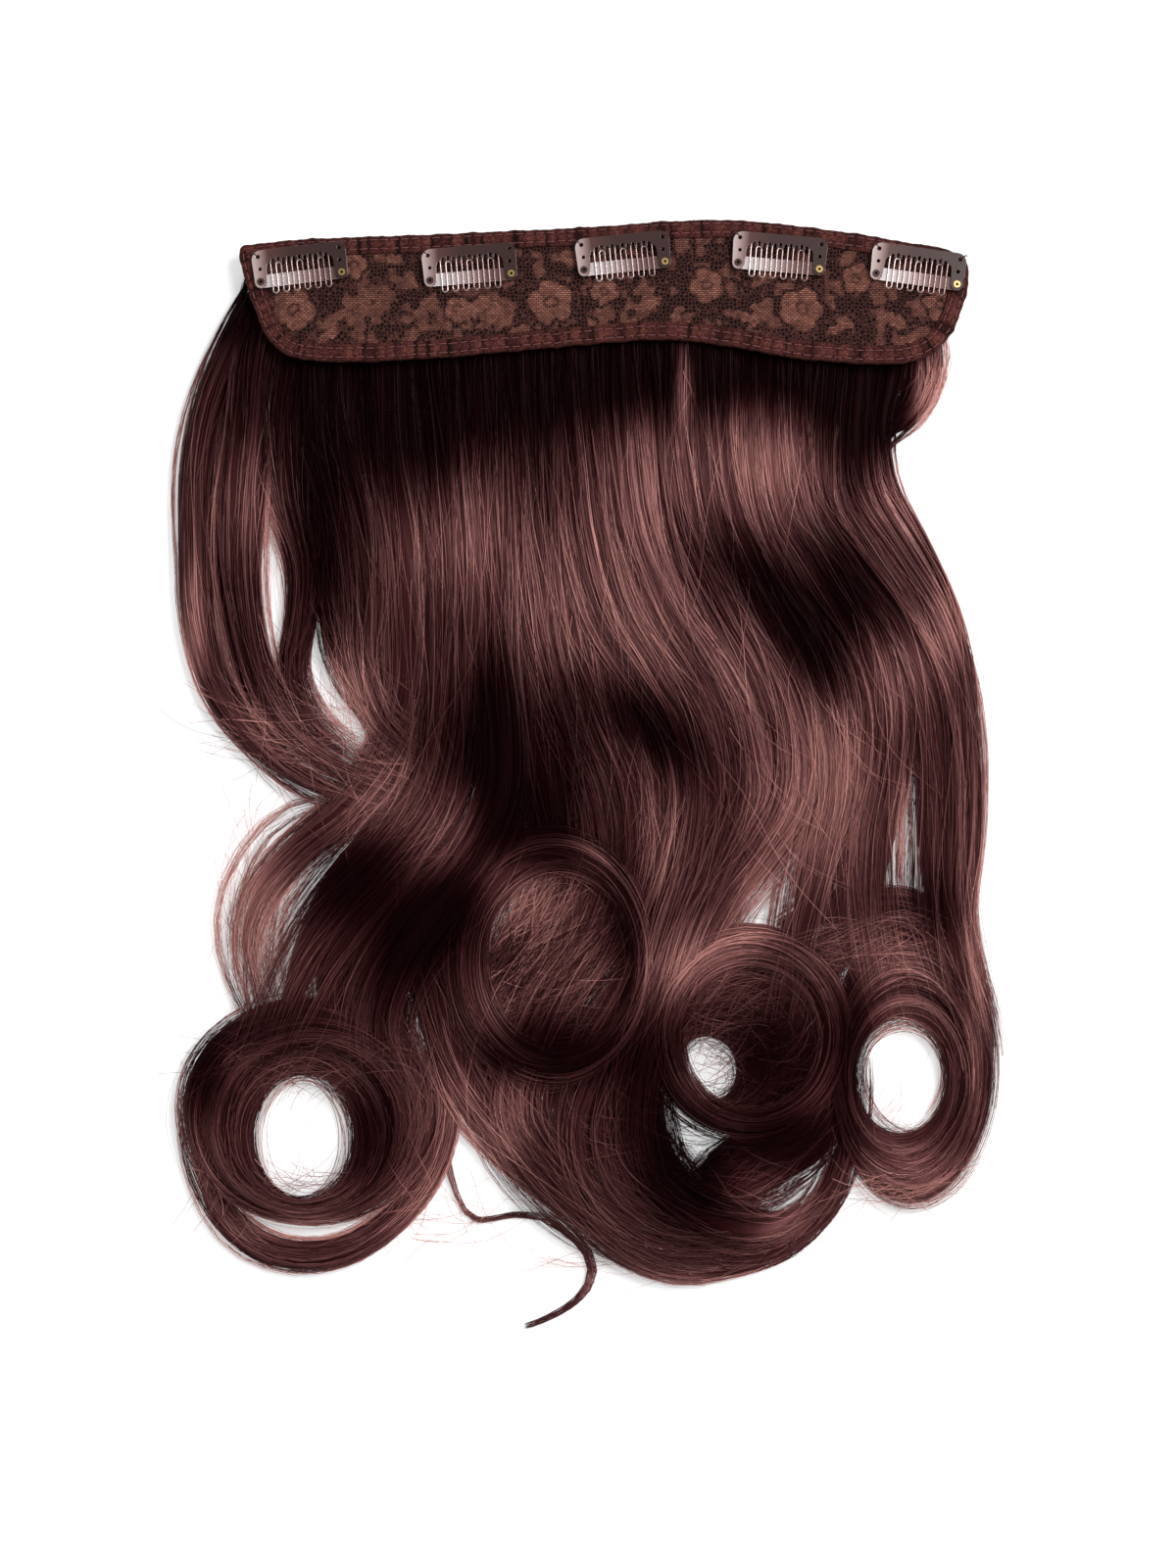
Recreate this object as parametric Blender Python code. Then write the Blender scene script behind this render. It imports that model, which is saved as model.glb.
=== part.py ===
"""Clip-in hair extension, lying flat: a lace band with five snap clips over curled, wefted hair.

Units are metres, +Z is up and the part lies on the plane z = 0. X runs along the band and the
hair falls towards -Y. Across and along are counted from the band's left end in shares of its
length; down is counted from the band's lower edge in shares of the fall; up is counted from the
band's lower edge in shares of its height.
"""

import math
from collections import namedtuple

import bmesh
import bpy
from mathutils import Matrix, Vector

# Driving sizes of the whole piece
BAND_LENGTH = 0.2526
BAND_HEIGHT = 0.0442
FALL_LENGTH = 0.340
ORIGIN_ACROSS = 0.4785
ORIGIN_DOWN = 0.4235
SEAT_GAP = 0.0003

# The band lies on the roots of the hair, its top edge lower than its bottom edge
EDGE_REST = 0.0100
BAND_TILT = math.radians(6.0)

# The lace and the folded tape that binds its edge
LACE_THICKNESS = 0.0010
TAPE_THICKNESS = 0.0007
TAPE_WIDTH = 0.0065
TAPE_FOLD = 0.0025
LACE_TUCK = 0.0005
GATHER_PINCH = 0.00035
LACE_WAVE = 0.00015
LACE_WAVES_ALONG = 9
LACE_COLUMNS = 34
LACE_CROWN = 0.0009
CROWN_START = 0.0074
CROWN_RUN = 0.0050

# One snap clip
CLIP_WIDTH = 0.0325
CLIP_HEIGHT = 0.0134
CLIP_SPINE = 0.0044
CLIP_ARM = 0.0046
CLIP_CORNER = 0.0026
SHEET = 0.0005
TINE_WIDTH = 0.00062
TINE_COUNT = 12
TINES_PER_WINDOW = 4
TINE_REACH = 0.0016
WINDOW_RISE = 0.0012
ARCH_DROP = 0.0022
BAR_HEIGHT = 0.0045
BAR_RISE = 0.0012
SEW_HOLE_RADIUS = 0.00075
HOLE_SIDES = 8
SEW_HOLE_SIDES = 6

# The eyelets that rivet a clip's bar across its arms
EYELET_BORE = 0.0005
EYELET_BARREL = 0.00075
EYELET_FLANGE = 0.0013
EYELET_LIP = 0.00025
EYELET_INSET = 0.0022
EYELET_RISE = 0.0024

# Hair
LOCK_DEPTH = 0.0090
LOCK_SINK = 0.0012
LAYER_STEP = 0.00003
CURL_RADIUS = 0.0476
LOOP_STEPS = 16
STEPS_PER_SPAN = 1.5
PAD_MARGIN = 0.004
BAND_CLEARANCE = 0.0012
TALL = 0.060

BandSection = namedtuple("BandSection", "along top bottom")
BAND_SECTIONS = [
    BandSection(0.000, 0.877, 0.740),
    BandSection(0.018, 0.885, 0.400),
    BandSection(0.038, 0.900, 0.120),
    BandSection(0.070, 0.920, -0.030),
    BandSection(0.140, 0.940, -0.062),
    BandSection(0.250, 0.960, -0.035),
    BandSection(0.340, 0.985, 0.010),
    BandSection(0.480, 1.020, 0.085),
    BandSection(0.580, 1.070, 0.130),
    BandSection(0.670, 1.085, 0.075),
    BandSection(0.750, 1.045, -0.025),
    BandSection(0.860, 0.960, -0.077),
    BandSection(0.920, 0.895, -0.065),
    BandSection(0.960, 0.860, 0.040),
    BandSection(0.985, 0.810, 0.260),
    BandSection(1.000, 0.720, 0.560),
]

ClipPlace = namedtuple("ClipPlace", "along up turn")
CLIP_PLACES = [
    ClipPlace(0.084, 0.700, 7.0),
    ClipPlace(0.316, 0.700, 5.0),
    ClipPlace(0.526, 0.790, 6.0),
    ClipPlace(0.740, 0.790, -5.0),
    ClipPlace(0.929, 0.685, -8.0),
]

# Stations of a lock: across, down and wide in hundredths of the band's length or the fall,
# lift in shares of a lock's depth
Station = namedtuple("Station", "across down wide lift")
Lock = namedtuple("Lock", "name deep stations")
LOCKS = [
    Lock("left_outer", 0.75, [
        Station(4, -9, 7, 0.0), Station(-2, 2, 7, 0.0), Station(-6, 11, 5, 0.0),
        Station(-6.2, 21, 4.6, 0.0), Station(-5, 30, 4.6, 0.0), Station(0, 37.5, 5, 0.0),
        Station(8, 42.5, 6, 0.2), Station(18, 46, 7, 0.2)]),
    Lock("left_inner", 0.85, [
        Station(6, -9, 8, 0.0), Station(1, 2, 7, 0.0), Station(-0.8, 11, 7, 0.0),
        Station(-0.4, 21, 6.4, 0.0), Station(0.5, 29, 5.6, 0.0), Station(5, 36, 6, 0.0),
        Station(12, 41, 6, 0.2), Station(20, 44, 6, 0.2)]),
    Lock("left_split", 0.8, [
        Station(10, -9, 8, 0.0), Station(7, 2, 8, 0.0), Station(7.2, 9, 6, 0.0),
        Station(9.6, 17, 6.5, 0.0), Station(9.8, 24, 6.5, 0.0), Station(7.5, 31, 5, 0.0),
        Station(7.5, 38, 4, 0.0)]),
    Lock("left_centre", 0.95, [
        Station(16, -9, 11, 0.0), Station(14, 2, 11, 0.0), Station(16, 10, 10, 0.0),
        Station(19, 19, 10, 0.0), Station(21, 28, 8, 0.0), Station(21.5, 37, 7, 0.1),
        Station(20, 45, 7, 0.3)]),
    Lock("wave_outer", 1.0, [
        Station(24, -9, 13, 0.0), Station(23.5, 2, 13, 0.0), Station(25.5, 12, 13, 0.0),
        Station(26.8, 24, 12, 0.0), Station(27, 35, 11, 0.2), Station(26.5, 43, 11, 0.5),
        Station(21, 51, 12, 0.5), Station(14, 57, 12, 0.3), Station(10, 64, 11, 0.0)]),
    Lock("wave_inner", 1.0, [
        Station(35, -9, 12, 0.0), Station(34, 2, 12, 0.0), Station(34.5, 12, 11, 0.0),
        Station(34, 24, 10, 0.0), Station(34.8, 35, 8, 0.3), Station(35.5, 43, 8, 0.6),
        Station(31, 51, 11, 0.7), Station(24, 58, 14, 0.5), Station(20, 65, 15, 0.1),
        Station(22, 73, 10, 0.0)]),
    Lock("centre_turn", 1.0, [
        Station(43, -9, 11, 0.0), Station(43, 2, 11, 0.0), Station(42, 12, 11, 0.0),
        Station(43, 23, 11, 0.0), Station(47, 32, 10, 0.0), Station(54, 38, 8, 0.1),
        Station(60.5, 43, 7, 0.3), Station(62.5, 50, 6, 0.4), Station(60, 58, 6, 0.3),
        Station(56, 66, 8, 0.2), Station(51, 74, 11, 0.0), Station(49, 82, 11, 0.0),
        Station(54, 89, 7, 0.0), Station(64, 91, 4, 0.0)]),
    Lock("centre_fall", 0.8, [
        Station(38, -9, 8, 0.0), Station(38.5, 8, 8, 0.0), Station(40, 22, 10, 0.0),
        Station(43.5, 33, 13, 0.0), Station(49, 43, 16, 0.0), Station(50, 53, 17, 0.0)]),
    Lock("centre_sheet", 1.0, [
        Station(52, -9, 11, 0.0), Station(52, 2, 11, 0.0), Station(51, 12, 11, 0.0),
        Station(53.5, 21, 11, 0.0), Station(59, 29, 10, 0.0), Station(65, 36, 9, 0.0),
        Station(68, 44, 8, 0.0), Station(66, 53, 9, 0.0), Station(62, 62, 10, 0.0),
        Station(59, 70, 8, 0.0)]),
    Lock("right_centre", 1.0, [
        Station(61, -9, 11, 0.0), Station(61, 2, 11, 0.0), Station(60.5, 12, 11, 0.0),
        Station(64, 20, 11, 0.0), Station(70, 29, 10, 0.0), Station(74, 37, 9, 0.0),
        Station(76, 46, 8, 0.0), Station(78, 56, 6, 0.0), Station(78, 64, 6, 0.0), Station(77, 70, 6, 0.0)]),
    Lock("right_sheet", 1.0, [
        Station(70, -9, 11, 0.0), Station(70, 2, 11, 0.0), Station(69.5, 11, 10, 0.0),
        Station(73, 19, 10, 0.0), Station(79, 27, 10, 0.0), Station(83, 36, 9, 0.0),
        Station(84, 46, 10, 0.0), Station(84, 57, 9, 0.0), Station(86, 66, 8, 0.0)]),
    Lock("right_sweep", 1.0, [
        Station(79, -9, 11, 0.0), Station(78, 2, 11, 0.0), Station(77, 10, 8, 0.0),
        Station(80, 18, 8, 0.0), Station(87, 26, 8, 0.0), Station(93, 35, 7, 0.0),
        Station(96.5, 44, 7, 0.0), Station(97, 53, 8, 0.0), Station(95, 61, 7, 0.1)]),
    Lock("right_fall", 0.9, [
        Station(88, -9, 9, 0.0), Station(86.5, 2, 9, 0.0), Station(85.5, 9, 6, 0.0),
        Station(86.5, 16, 6, 0.0), Station(92.5, 24, 6, 0.0), Station(97.5, 33, 5.5, 0.0),
        Station(99.4, 43, 5.2, 0.0), Station(99.6, 52, 5.2, 0.0), Station(99, 60, 5, 0.0)]),
    Lock("right_loop", 0.6, [
        Station(92, -8, 6, 0.0), Station(95, -1, 4.4, 0.0), Station(94.6, 3.5, 4.4, 0.0),
        Station(90.5, 7.2, 4.4, 0.0), Station(88.6, 11.5, 3, 0.0), Station(93, 18, 3, 0.0),
        Station(98, 25, 3, 0.0), Station(100, 33, 3, 0.0), Station(100.5, 41, 3, 0.0)]),
    Lock("under_curl", 0.8, [
        Station(57, 46, 10, 0.0), Station(48, 54, 20, 0.0), Station(42, 61, 24, 0.0),
        Station(36, 68, 18, 0.0), Station(31.5, 75, 12, 0.0), Station(34, 82, 8, 0.0),
        Station(41, 87.5, 6, 0.0), Station(50, 91, 5, 0.0), Station(60, 92.3, 3.5, 0.0)]),
    Lock("left_wisp", 0.35, [
        Station(15, 46.5, 5, 0.1), Station(8, 51, 5, 0.0), Station(3, 57, 5, 0.0),
        Station(1.5, 63, 4, 0.0), Station(4, 68, 4, 0.0)]),
    Lock("foot_arc", 0.6, [
        Station(57, 74, 6, 0.0), Station(58.5, 81, 6, 0.0), Station(63.5, 87, 5, 0.0),
        Station(71, 89.3, 4, 0.0), Station(78, 87, 4, 0.0), Station(83, 80, 5, 0.0),
        Station(84, 72, 5, 0.1)]),
    Lock("tail", 0.28, [
        Station(44, 88.6, 2.4, 0.0), Station(47.3, 90.8, 1.6, 0.0), Station(47.8, 93.8, 1.3, 0.0),
        Station(45.2, 96.6, 1.3, 0.0), Station(40.5, 98.9, 0.8, 0.0)]),
    Lock("tail_loop", 0.22, [
        Station(27.5, 81, 1.6, 0.0), Station(29.3, 84.6, 1.0, 0.0), Station(31.6, 87.5, 1.0, 0.0),
        Station(36, 88, 1.0, 0.0), Station(42, 88, 1.3, 0.0), Station(47, 89, 2, 0.0)]),
]

# Curls: middle in hundredths across and down; outer, inner and the loop's own middle shift in
# shares of the curl radius; lift in shares of a lock's depth
Curl = namedtuple("Curl", "name across down outer_x outer_y inner_x inner_y deep lift")
CURLS = [
    Curl("first_outer", 10.3, 79.0, 1.00, 1.04, 0.66, 0.72, 0.85, 0.0),
    Curl("first_inner", 9.6, 78.6, 0.78, 0.80, 0.31, 0.40, 1.00, 0.3),
    Curl("second", 42.4, 61.0, 0.98, 0.96, 0.70, 0.66, 0.85, 0.75),
    Curl("third_outer", 70.3, 69.6, 0.80, 0.92, 0.50, 0.56, 0.90, 0.55),
    Curl("third_inner", 69.2, 72.2, 0.62, 0.50, 0.26, 0.22, 0.80, 0.35),
    Curl("fourth_outer", 93.0, 73.2, 0.62, 1.04, 0.30, 0.50, 0.90, 0.0),
    Curl("fourth_inner", 91.0, 69.0, 0.62, 0.88, 0.30, 0.52, 0.85, 0.35),
]

# Cross-section of a lock as shares of its half width and its depth, flat underneath
LOCK_SECTION = [(-0.8, 0.0), (0.8, 0.0), (1.0, 0.35), (0.5, 1.0), (-0.5, 1.0), (-1.0, 0.35)]
HUNDREDTH = 0.01


def plan_point(across, down):
    """A point of the plan from its shares across the band and down the fall."""
    x = (across - ORIGIN_ACROSS) * BAND_LENGTH
    y = (ORIGIN_DOWN - down) * FALL_LENGTH
    return Vector((x, y, 0.0))


def band_point(along, up):
    """A point in the band's own plane, with y counted from the level of its lower edge."""
    return Vector(((along - ORIGIN_ACROSS) * BAND_LENGTH, up * BAND_HEIGHT, 0.0))


def smooth_through(rows, share):
    """The value at a share of the way through rows of numbers, on a curve through all of them."""
    spans = len(rows) - 1
    place = min(max(share, 0.0), 1.0) * spans
    i = min(int(place), spans - 1)
    t = place - i
    before = rows[max(i - 1, 0)]
    here = rows[i]
    after = rows[i + 1]
    beyond = rows[min(i + 2, spans)]
    found = []
    for p, a, b, q in zip(before, here, after, beyond):
        curve = 2 * a + (b - p) * t + (2 * p - 5 * a + 4 * b - q) * t * t
        curve += (3 * a - p - 3 * b + q) * t * t * t
        found.append(0.5 * curve)
    return found


def material(name, colour, roughness, metallic=0.0):
    """A plain material of one colour."""
    made = bpy.data.materials.new(name)
    made.use_nodes = True
    shader = made.node_tree.nodes["Principled BSDF"]
    shader.inputs["Base Color"].default_value = (*colour, 1.0)
    shader.inputs["Roughness"].default_value = roughness
    shader.inputs["Metallic"].default_value = metallic
    return made


def mesh_object(name, points, faces, finish=None):
    """An object from points and faces, with its faces turned outwards."""
    mesh = bpy.data.meshes.new(name)
    mesh.from_pydata([tuple(p) for p in points], [], faces)
    shape = bmesh.new()
    shape.from_mesh(mesh)
    bmesh.ops.recalc_face_normals(shape, faces=shape.faces)
    shape.to_mesh(mesh)
    shape.free()
    made = bpy.data.objects.new(name, mesh)
    bpy.context.scene.collection.objects.link(made)
    if finish is not None:
        mesh.materials.append(finish)
    return made


def ring_faces(rings, sides, closed):
    """Faces that join rings of points in order, capped at both ends unless they close on themselves."""
    faces = []
    for r in range(rings if closed else rings - 1):
        here = r * sides
        there = ((r + 1) % rings) * sides
        for k in range(sides):
            after = (k + 1) % sides
            faces.append((here + k, here + after, there + after, there + k))
    if not closed:
        faces.append(tuple(range(sides)))
        faces.append(tuple((rings - 1) * sides + k for k in range(sides)))
    return faces


def clear_scene():
    for old in list(bpy.data.objects):
        bpy.data.objects.remove(old, do_unlink=True)


def band_frame():
    """The empty that carries the band: on the hair's roots, tilted so that the top edge is lower."""
    frame = bpy.data.objects.new("band_frame", None)
    bpy.context.scene.collection.objects.link(frame)
    frame.location = (0.0, ORIGIN_DOWN * FALL_LENGTH, EDGE_REST)
    frame.rotation_euler = (-BAND_TILT, 0.0, 0.0)
    return frame


def band_outline():
    """The band's edge as a loop of points in its own plane: the top edge left to right, then back."""
    top = [band_point(s.along, s.top) for s in BAND_SECTIONS]
    bottom = [band_point(s.along, s.bottom) for s in BAND_SECTIONS]
    corners = [*top, *reversed(bottom)]
    loop = []
    for i, here in enumerate(corners):
        after = corners[(i + 1) % len(corners)]
        pieces = max(1, round((after - here).length / (1.5 * TAPE_WIDTH)))
        for k in range(pieces):
            loop.append(here.lerp(after, k / pieces))
    for _ in range(2):
        loop = [
            here * 0.5 + (loop[i - 1] + loop[(i + 1) % len(loop)]) * 0.25
            for i, here in enumerate(loop)
        ]
    return loop


def inset(loop, distance):
    """The loop moved inwards by a distance, along the bisector at each point."""
    moved = []
    for i, here in enumerate(loop):
        back = (here - loop[i - 1]).normalized()
        ahead = (loop[(i + 1) % len(loop)] - here).normalized()
        inward = Vector((back.y + ahead.y, -back.x - ahead.x, 0.0)).normalized()
        straight = max(0.5, math.sqrt(max(0.0, (1 + back.dot(ahead)) / 2)))
        moved.append(here + inward * (distance / straight))
    return moved


def tape_depth():
    """Thickness of the folded tape with the lace and a gap on both sides of it."""
    return 2 * TAPE_THICKNESS + LACE_THICKNESS + 2 * SEAT_GAP


def edge_tape(finish):
    """The tape folded round the lace's edge: a U-shaped section swept round the band, pinched
    at every second station where the elastic gathers it."""
    loop = band_outline()
    depth = tape_depth()
    wall = TAPE_THICKNESS
    section = [
        (wall / 2, 0.0), (TAPE_WIDTH, 0.0), (TAPE_WIDTH, wall), (TAPE_FOLD, wall),
        (TAPE_FOLD, depth - wall), (TAPE_WIDTH, depth - wall), (TAPE_WIDTH, depth),
        (wall / 2, depth), (0.0, depth - wall), (0.0, wall),
    ]
    columns = [inset(loop, s) for s, _ in section]
    points = []
    for i in range(len(loop)):
        pinch = GATHER_PINCH if i % 2 else 0.0
        for k, (s, h) in enumerate(section):
            outward = 1.0 - s / TAPE_WIDTH
            lowered = pinch * (h / depth) * outward
            points.append(columns[k][i] + Vector((0.0, 0.0, h - lowered)))
    return mesh_object("edge_tape", points, ring_faces(len(loop), len(section), True), finish)


def distance_to(loop, point):
    """How far a point lies from a closed loop of points."""
    nearest = math.inf
    for k, here in enumerate(loop):
        along = loop[(k + 1) % len(loop)] - here
        t = min(max((point - here).dot(along) / along.length_squared, 0.0), 1.0)
        nearest = min(nearest, (point - here - along * t).length)
    return nearest


def lace_panel(finish):
    """The lace: a thin sheet between the tape's walls, which puffs up between them to the clips."""
    edge = band_outline()
    loop = inset(edge, TAPE_FOLD + LACE_TUCK)
    left = min(p.x for p in loop) + LACE_TUCK
    right = max(p.x for p in loop) - LACE_TUCK
    floor = TAPE_THICKNESS + SEAT_GAP
    cover = CROWN_START - TAPE_FOLD - LACE_TUCK
    grid = []
    for i in range(LACE_COLUMNS + 1):
        share = i / LACE_COLUMNS
        x = left + (right - left) * share
        crossings = []
        for k, here in enumerate(loop):
            after = loop[(k + 1) % len(loop)]
            if (here.x - x) * (after.x - x) <= 0 and here.x != after.x:
                crossings.append(here.y + (after.y - here.y) * (x - here.x) / (after.x - here.x))
        low, high = min(crossings), max(crossings)
        reach = min(1.0, (high - low) / (2.4 * (cover + CROWN_RUN)))
        steps = [cover * reach, (cover + CROWN_RUN) * reach]
        column = []
        for y in (low, low + steps[0], low + steps[1], high - steps[1], high - steps[0], high):
            spot = Vector((x, y, 0.0))
            rise = min(max((distance_to(edge, spot) - CROWN_START) / CROWN_RUN, 0.0), 1.0)
            wave = math.sin(2 * math.pi * LACE_WAVES_ALONG * share + 60.0 * y)
            column.append(spot + Vector((0.0, 0.0, floor + rise * (LACE_CROWN + LACE_WAVE * wave))))
        grid.append(column)
    rows = len(grid[0])
    points = []
    for lift in (0.0, LACE_THICKNESS):
        for column in grid:
            points.extend(p + Vector((0.0, 0.0, lift)) for p in column)
    sheet = len(grid) * rows
    faces = []
    for i in range(LACE_COLUMNS):
        for j in range(rows - 1):
            a, b = i * rows + j, (i + 1) * rows + j
            faces.append((a, a + 1, b + 1, b))
            faces.append((sheet + a, sheet + b, sheet + b + 1, sheet + a + 1))
    rim = [i * rows for i in range(len(grid))]
    rim += [(len(grid) - 1) * rows + j for j in range(1, rows)]
    rim += [i * rows + rows - 1 for i in range(len(grid) - 2, -1, -1)]
    rim += [j for j in range(rows - 2, 0, -1)]
    for here, after in zip(rim, rim[1:] + rim[:1]):
        faces.append((here, after, sheet + after, sheet + here))
    return mesh_object("lace_panel", points, faces, finish)


def arc(middle_x, middle_y, radius_x, radius_y, start, end, steps):
    """Points of an arc from one angle to another, in degrees."""
    found = []
    for k in range(steps + 1):
        angle = math.radians(start + (end - start) * k / steps)
        found.append((middle_x + radius_x * math.cos(angle), middle_y + radius_y * math.sin(angle)))
    return found


def round_hole(x, y, radius, sides):
    """A round hole's points, in order against the clock."""
    return arc(x, y, radius, radius, 0, 360 - 360 / sides, sides - 1)


def tine_field():
    """Left edge, spacing and the heights of a comb's tines, in the clip's own plane."""
    width = CLIP_WIDTH - 2 * CLIP_ARM
    spacing = width / (TINE_COUNT + 1)
    first = -width / 2 + spacing
    root = CLIP_HEIGHT / 2 - CLIP_SPINE
    tip = -CLIP_HEIGHT / 2 - TINE_REACH
    return first, spacing, root, tip


def comb_outline():
    """The comb's outer edge: round the spine and arms, and in and out between the tines."""
    first, spacing, root, tip = tine_field()
    half_w, half_h, corner = CLIP_WIDTH / 2, CLIP_HEIGHT / 2, CLIP_CORNER
    inner = half_w - CLIP_ARM
    foot = CLIP_ARM / 2.2
    half_t = TINE_WIDTH / 2
    turn = spacing / 2
    edge = []
    edge += arc(-half_w + corner, half_h - corner, corner, corner, 180, 90, 3)
    edge += arc(half_w - corner, half_h - corner, corner, corner, 90, 0, 3)
    edge += arc(half_w - foot, -half_h + foot, foot, foot, 0, -110, 3)
    edge.append((inner, -half_h + foot))
    slot_right = first + (TINE_COUNT - 1) * spacing + half_t
    edge += [(inner, root), (slot_right, root)]
    for pair in range(TINE_COUNT // 2 - 1, -1, -1):
        left = first + 2 * pair * spacing
        middle = left + turn
        edge += arc(middle, tip + turn, turn + half_t, turn + half_t, 0, -180, 3)
        if pair == 0:
            break
        upper = root if 2 * pair % TINES_PER_WINDOW == 0 else root - ARCH_DROP
        gap_left = left - spacing + half_t
        gap_right = left - half_t
        edge += [(gap_right, upper - half_t), (gap_left, upper - half_t)]
    edge += [(first - half_t, root), (-inner, root)]
    edge.append((-inner, -half_h + foot))
    edge += arc(-half_w + foot, -half_h + foot, foot, foot, -70, -180, 3)
    return edge


def comb_windows():
    """The comb's openings: one window for each group of tines, running down inside its loops."""
    first, spacing, root, tip = tine_field()
    half_t = TINE_WIDTH / 2
    turn = spacing / 2
    windows = []
    for group in range(TINE_COUNT // TINES_PER_WINDOW):
        left = first + group * TINES_PER_WINDOW * spacing
        right = left + (TINES_PER_WINDOW - 1) * spacing
        arch = root - ARCH_DROP
        hole = [(left + half_t, root), (left + spacing, root + WINDOW_RISE)]
        hole += [(right - spacing, root + WINDOW_RISE), (right - half_t, root)]
        hole += arc(right - turn, tip + turn, turn - half_t, turn - half_t, 0, -180, 2)
        hole += [(right - spacing + half_t, arch), (right - spacing - half_t, arch + half_t * 1.6)]
        hole += [(left + spacing + half_t, arch + half_t * 1.6), (left + spacing - half_t, arch)]
        hole += arc(left + turn, tip + turn, turn - half_t, turn - half_t, 0, -180, 2)
        windows.append(hole[::-1])
    return windows


def sewing_holes():
    """Middles of the holes at a clip's corners and half way down its arms."""
    x = CLIP_WIDTH / 2 - EYELET_INSET
    high = CLIP_HEIGHT / 2 - EYELET_INSET
    low = eyelet_height()
    return [(side * x, y) for side in (-1, 1) for y in (high, (high + low) / 2)]


def eyelet_height():
    return -CLIP_HEIGHT / 2 + EYELET_RISE


def eyelet_places():
    x = CLIP_WIDTH / 2 - EYELET_INSET
    return [("left", -x), ("right", x)]


def flat_plate(name, outline, holes, thickness, finish):
    """A sheet-metal shape: an outline that runs clockwise and holes that run the other way, filled
    and given a thickness."""
    curve = bpy.data.curves.new(name, "CURVE")
    curve.dimensions = "2D"
    curve.fill_mode = "BOTH"
    curve.extrude = thickness / 2
    for ring in [outline, *holes]:
        spline = curve.splines.new("POLY")
        spline.points.add(len(ring) - 1)
        for point, (x, y) in zip(spline.points, ring):
            point.co = (x, y, 0.0, 1.0)
        spline.use_cyclic_u = True
    curve.materials.append(finish)
    return curve


def clip_parts(metal, bright, dark):
    """Every clip's comb, bar and two eyelets, each placed on the band."""
    sewing = [round_hole(x, y, SEW_HOLE_RADIUS, SEW_HOLE_SIDES) for x, y in sewing_holes()]
    rivet = EYELET_BARREL + SEAT_GAP
    rivets = [round_hole(x, eyelet_height(), rivet, HOLE_SIDES) for _, x in eyelet_places()]
    comb = flat_plate("comb", comb_outline(), [*comb_windows(), *sewing, *rivets], SHEET, metal)
    bar = flat_plate("bar", bar_outline(), rivets, SHEET, metal)
    seat = tape_depth() + SEAT_GAP + EYELET_LIP + SEAT_GAP
    made = []
    for number, place in enumerate(CLIP_PLACES, start=1):
        turn = Matrix.Rotation(math.radians(place.turn), 4, "Z")
        middle = band_point(place.along, place.up)
        bar_z = seat + SHEET / 2
        comb_z = bar_z + SHEET + SEAT_GAP
        for label, curve, z in (("bar", bar, bar_z), ("comb", comb, comb_z)):
            piece = bpy.data.objects.new(f"clip_{number}_{label}", curve)
            bpy.context.scene.collection.objects.link(piece)
            piece.matrix_local = Matrix.Translation(middle + Vector((0.0, 0.0, z))) @ turn
            made.append(piece)
        low = seat - SEAT_GAP - EYELET_LIP
        high = comb_z + SHEET / 2 + SEAT_GAP + EYELET_LIP
        for side, x in eyelet_places():
            finish = dark if side == "left" else bright
            piece = eyelet(f"clip_{number}_eyelet_{side}", high - low, finish)
            spot = Vector((x, eyelet_height(), low))
            piece.matrix_local = Matrix.Translation(middle) @ turn @ Matrix.Translation(spot)
            made.append(piece)
    return made


def bar_outline():
    """The strip riveted across the arms' feet, behind the tines."""
    half_w = CLIP_WIDTH / 2 - SEAT_GAP
    low = -CLIP_HEIGHT / 2 + BAR_RISE / 2
    high = low + BAR_HEIGHT
    notch = BAR_RISE
    return [
        (-half_w, low + notch), (-half_w, high - notch), (-half_w + notch, high),
        (half_w - notch, high), (half_w, high - notch), (half_w, low + notch),
        (half_w - notch, low), (-half_w + notch, low),
    ]


def eyelet(name, height, finish):
    """A hollow rivet: a barrel with a lip at each end."""
    profile = [
        (EYELET_BORE, 0.0), (EYELET_FLANGE, 0.0), (EYELET_FLANGE, EYELET_LIP),
        (EYELET_BARREL, EYELET_LIP), (EYELET_BARREL, height - EYELET_LIP),
        (EYELET_FLANGE, height - EYELET_LIP), (EYELET_FLANGE, height), (EYELET_BORE, height),
    ]
    points = []
    for k in range(HOLE_SIDES):
        angle = 2 * math.pi * k / HOLE_SIDES
        points.extend(Vector((r * math.cos(angle), r * math.sin(angle), z)) for r, z in profile)
    return mesh_object(name, points, ring_faces(HOLE_SIDES, len(profile), True), finish)


def lock_solid(lock):
    """A lock of hair: a flattened section swept along a smooth route through its stations."""
    spans = len(lock.stations) - 1
    steps = round(STEPS_PER_SPAN * spans)
    rows = [smooth_through(lock.stations, k / steps) for k in range(steps + 1)]
    middles = [plan_point(across * HUNDREDTH, down * HUNDREDTH) for across, down, _, _ in rows]
    points = []
    for k, (_, _, wide, lift) in enumerate(rows):
        ahead = middles[min(k + 1, steps)] - middles[max(k - 1, 0)]
        side = Vector((-ahead.y, ahead.x, 0.0)).normalized()
        half = 0.5 * wide * HUNDREDTH * BAND_LENGTH
        depth = lock.deep * LOCK_DEPTH
        base = lift * LOCK_DEPTH - LOCK_SINK
        for s, h in LOCK_SECTION:
            points.append(middles[k] + side * (s * half) + Vector((0.0, 0.0, base + h * (depth + LOCK_SINK))))
    return mesh_object(f"lock_{lock.name}", points, ring_faces(steps + 1, len(LOCK_SECTION), False))


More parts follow.
